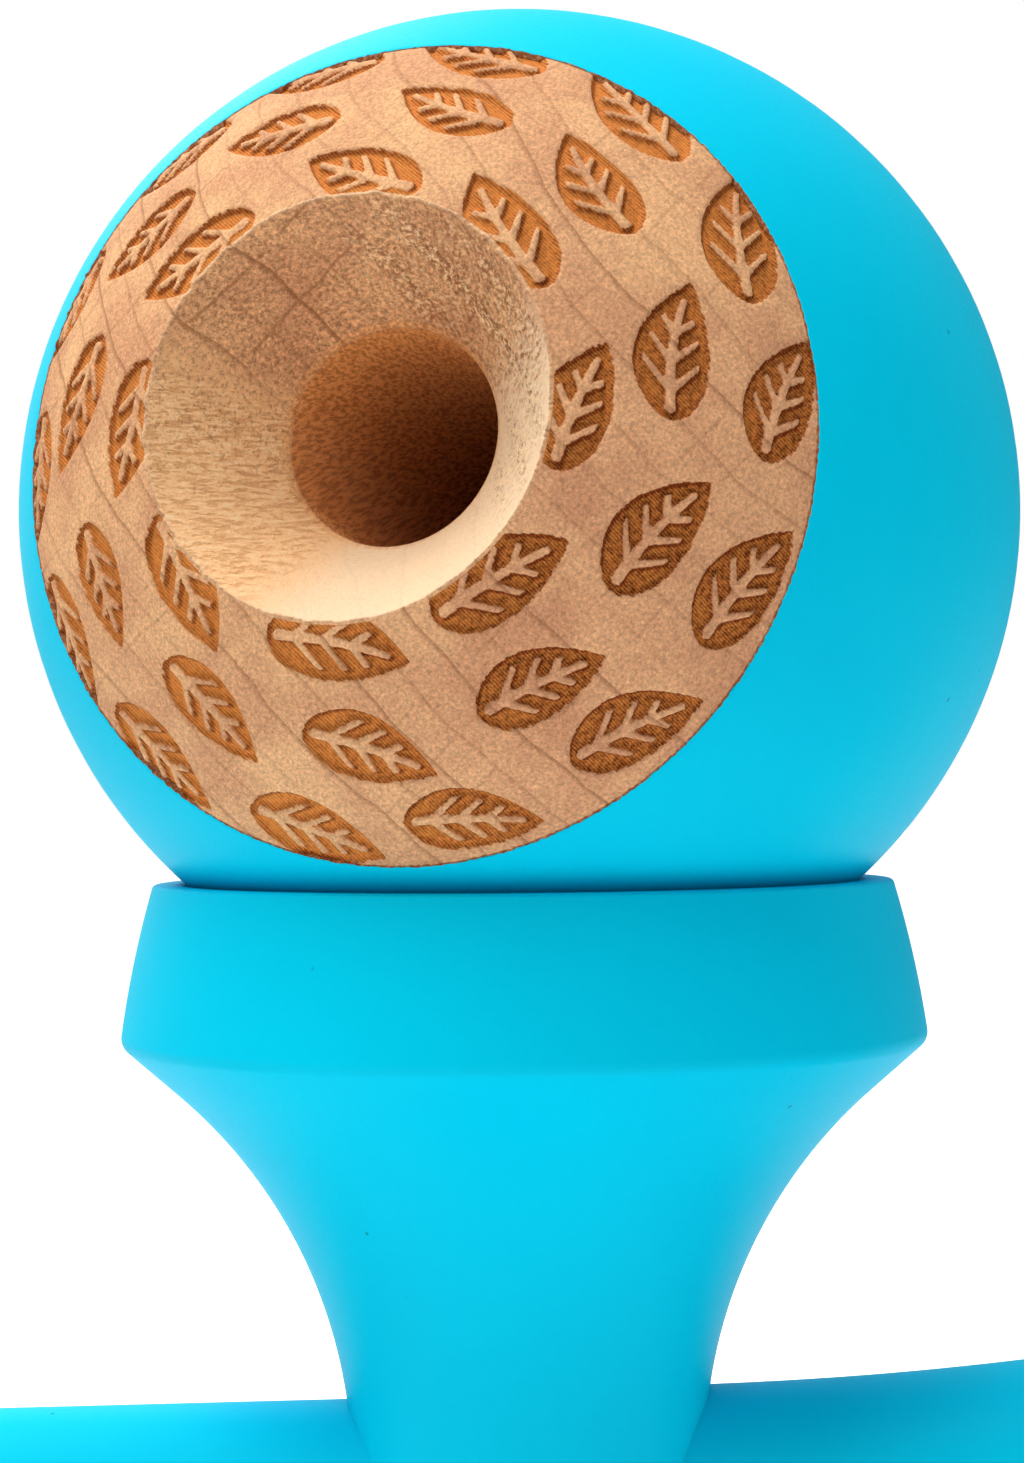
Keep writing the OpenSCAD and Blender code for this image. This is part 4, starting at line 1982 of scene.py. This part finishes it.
@dataclass
class Studio:
    """The pale floor, the soft light and the camera.

    Attributes:
        target: Point that the panels face, in millimetres.
        floor_half: Half the side of the floor, in millimetres.
        eye: Place of the camera, in millimetres.
        heading: Turn of the camera from straight ahead.
        pitch: Tilt of the camera above level.
        roll: Roll of the camera.
        lens: Focal length, in millimetres.
        sensor: Width of the camera's frame, in millimetres.
        clip: Nearest and farthest distance that the camera shows, in metres.
    """

    target: Vector
    floor_half: float = 4000.0
    eye: Way = (-3.79, -204.97, 79.92)
    heading: float = math.radians(0.9)
    pitch: float = math.radians(0.64)
    roll: float = math.radians(-0.54)
    lens: float = 83.38
    sensor: float = 36.0
    clip: Point = (0.01, 50.0)

    panels = (
        Panel("top_panel", (-360, -140, 1280), 1140, 21.5, WARM),
        Panel("back_panel", (-240, 520, 520), 380, 0.9, WARM),
        Panel("front_panel", (140, -700, 420), 480, 0.8, COOL, mirrored=False),
        Panel("right_panel", (560, 240, 280), 300, 0.4, WARM, mirrored=False),
    )

    # The floor by distance from the toy: its colour, its glow, and what the camera and mirrors see of it
    paper_pale = Span(150.0, 500.0, 0.95, 0.6)
    paper_seen = Slope(1.0, -0.25)
    glow_seen = Span(60.0, 240.0, 0.1, 1.0)
    glow_mirrored = 0.1

    # The room by direction: its light, and the white wall that shows in mirrors
    above_way = (-0.35, 0.0, 0.94)
    ahead_way = (0.0, 1.0, 0.0)
    left_way = (-1.0, 0.0, 0.0)
    room_above = Span(-0.3, 0.9, 0.15, 0.6)
    room_ahead = Span(-0.9, 0.1, 0.2, 1.0)
    wall_ahead = Span(0.0, 0.4)
    wall_left = Span(-0.4, 0.2, 0.1, 1.0)

    def build(self) -> None:
        """Builds the floor, the light and the camera."""
        bpy.context.scene.view_settings.view_transform = "Standard"
        self.lay_floor()
        self.light_room()
        for panel in self.panels:
            panel.build(self.target)
        self.set_camera()

    @staticmethod
    def rays(graph: Graph) -> Tuple[Wire, Wire]:
        """Tells the rays that show the background apart.

        Args:
            graph: Tree of the floor's or the world's material.

        Returns:
            A mask for straight view and one for reflections and glass.
        """
        path = graph.node("ShaderNodeLightPath").outputs
        titles = ("Is Camera Ray", "Is Glossy Ray", "Is Transmission Ray")
        seen, mirrored, through = (Wire(graph, path[title]) for title in titles)
        return seen, mirrored.most(through)

    def lay_floor(self) -> None:
        """Lays the pale floor, which shows white apart from the toy's shadow."""
        half = self.floor_half * MM
        corners = [(-half, -half, 0), (half, -half, 0), (half, half, 0), (-half, half, 0)]
        mesh = bpy.data.meshes.new("floor")
        mesh.from_pydata(corners, [], [(0, 1, 2, 3)])
        floor = show("floor", mesh)
        paper, graph = new_material("pale_paper")
        seen, mirrored = self.rays(graph)
        away = graph.vector("LENGTH", graph.place())
        pale = away.ramp(self.paper_pale) * seen.slope(self.paper_seen)
        level = mirrored * self.glow_mirrored + seen * away.ramp(self.glow_seen)
        sheet = graph.out("ShaderNodeBsdfDiffuse", 0, (pale,))
        glow = graph.out("ShaderNodeEmission", 0, (WHITE, level))
        both = graph.out("ShaderNodeAddShader", 0, (sheet, glow))
        graph.node("ShaderNodeOutputMaterial", (both,))
        mesh.materials.append(paper)

    def light_room(self) -> None:
        """Lights the room softly, more from above and the left, with a white background."""
        world = bpy.data.worlds.new("studio")
        world.use_nodes = True
        bpy.context.scene.world = world
        graph = Graph(world.node_tree)
        way = graph.out("ShaderNodeTexCoord", "Generated")
        above, ahead, left = (way.dot(axis) for axis in (self.above_way, self.ahead_way, self.left_way))
        room = above.ramp(self.room_above) * ahead.ramp(self.room_ahead)
        seen, mirrored = self.rays(graph)
        wall = ahead.ramp(self.wall_ahead) * left.ramp(self.wall_left)
        shown = seen.most(mirrored * wall)
        colour = graph.mix(shown, COOL, WHITE)
        sky = graph.out("ShaderNodeBackground", 0, (colour, room.most(shown)))
        graph.node("ShaderNodeOutputWorld", (sky,))

    def set_camera(self) -> None:
        """Sets the camera where the photograph was taken from."""
        data = bpy.data.cameras.new("camera")
        data.lens = self.lens
        data.sensor_width = self.sensor
        data.clip_start, data.clip_end = self.clip
        camera = show("camera", data)
        ahead = Vector((
            math.sin(self.heading) * math.cos(self.pitch),
            math.cos(self.heading) * math.cos(self.pitch),
            math.sin(self.pitch)))
        side = ahead.cross(Vector((0, 0, 1))).normalized()
        top = side.cross(ahead)
        right = side * math.cos(self.roll) + top * math.sin(self.roll)
        up = top * math.cos(self.roll) - side * math.sin(self.roll)
        turn = Matrix((right, up, -ahead)).transposed().to_4x4()
        camera.matrix_world = Matrix.Translation(Vector(self.eye) * MM) @ turn
        bpy.context.scene.camera = camera


def main() -> None:
    """Builds the toy piece by piece, then the studio round it."""
    logging.basicConfig(level=logging.INFO, format="%(name)s: %(message)s")
    handle = Handle()
    handle.build()
    Crosspiece().build(handle)
    ball = Ball()
    ball.build()
    Bead().build(ball.lathe, ball.bead_at)
    Studio(target=ball.centre).build()


if __name__ == "__main__":
    main()
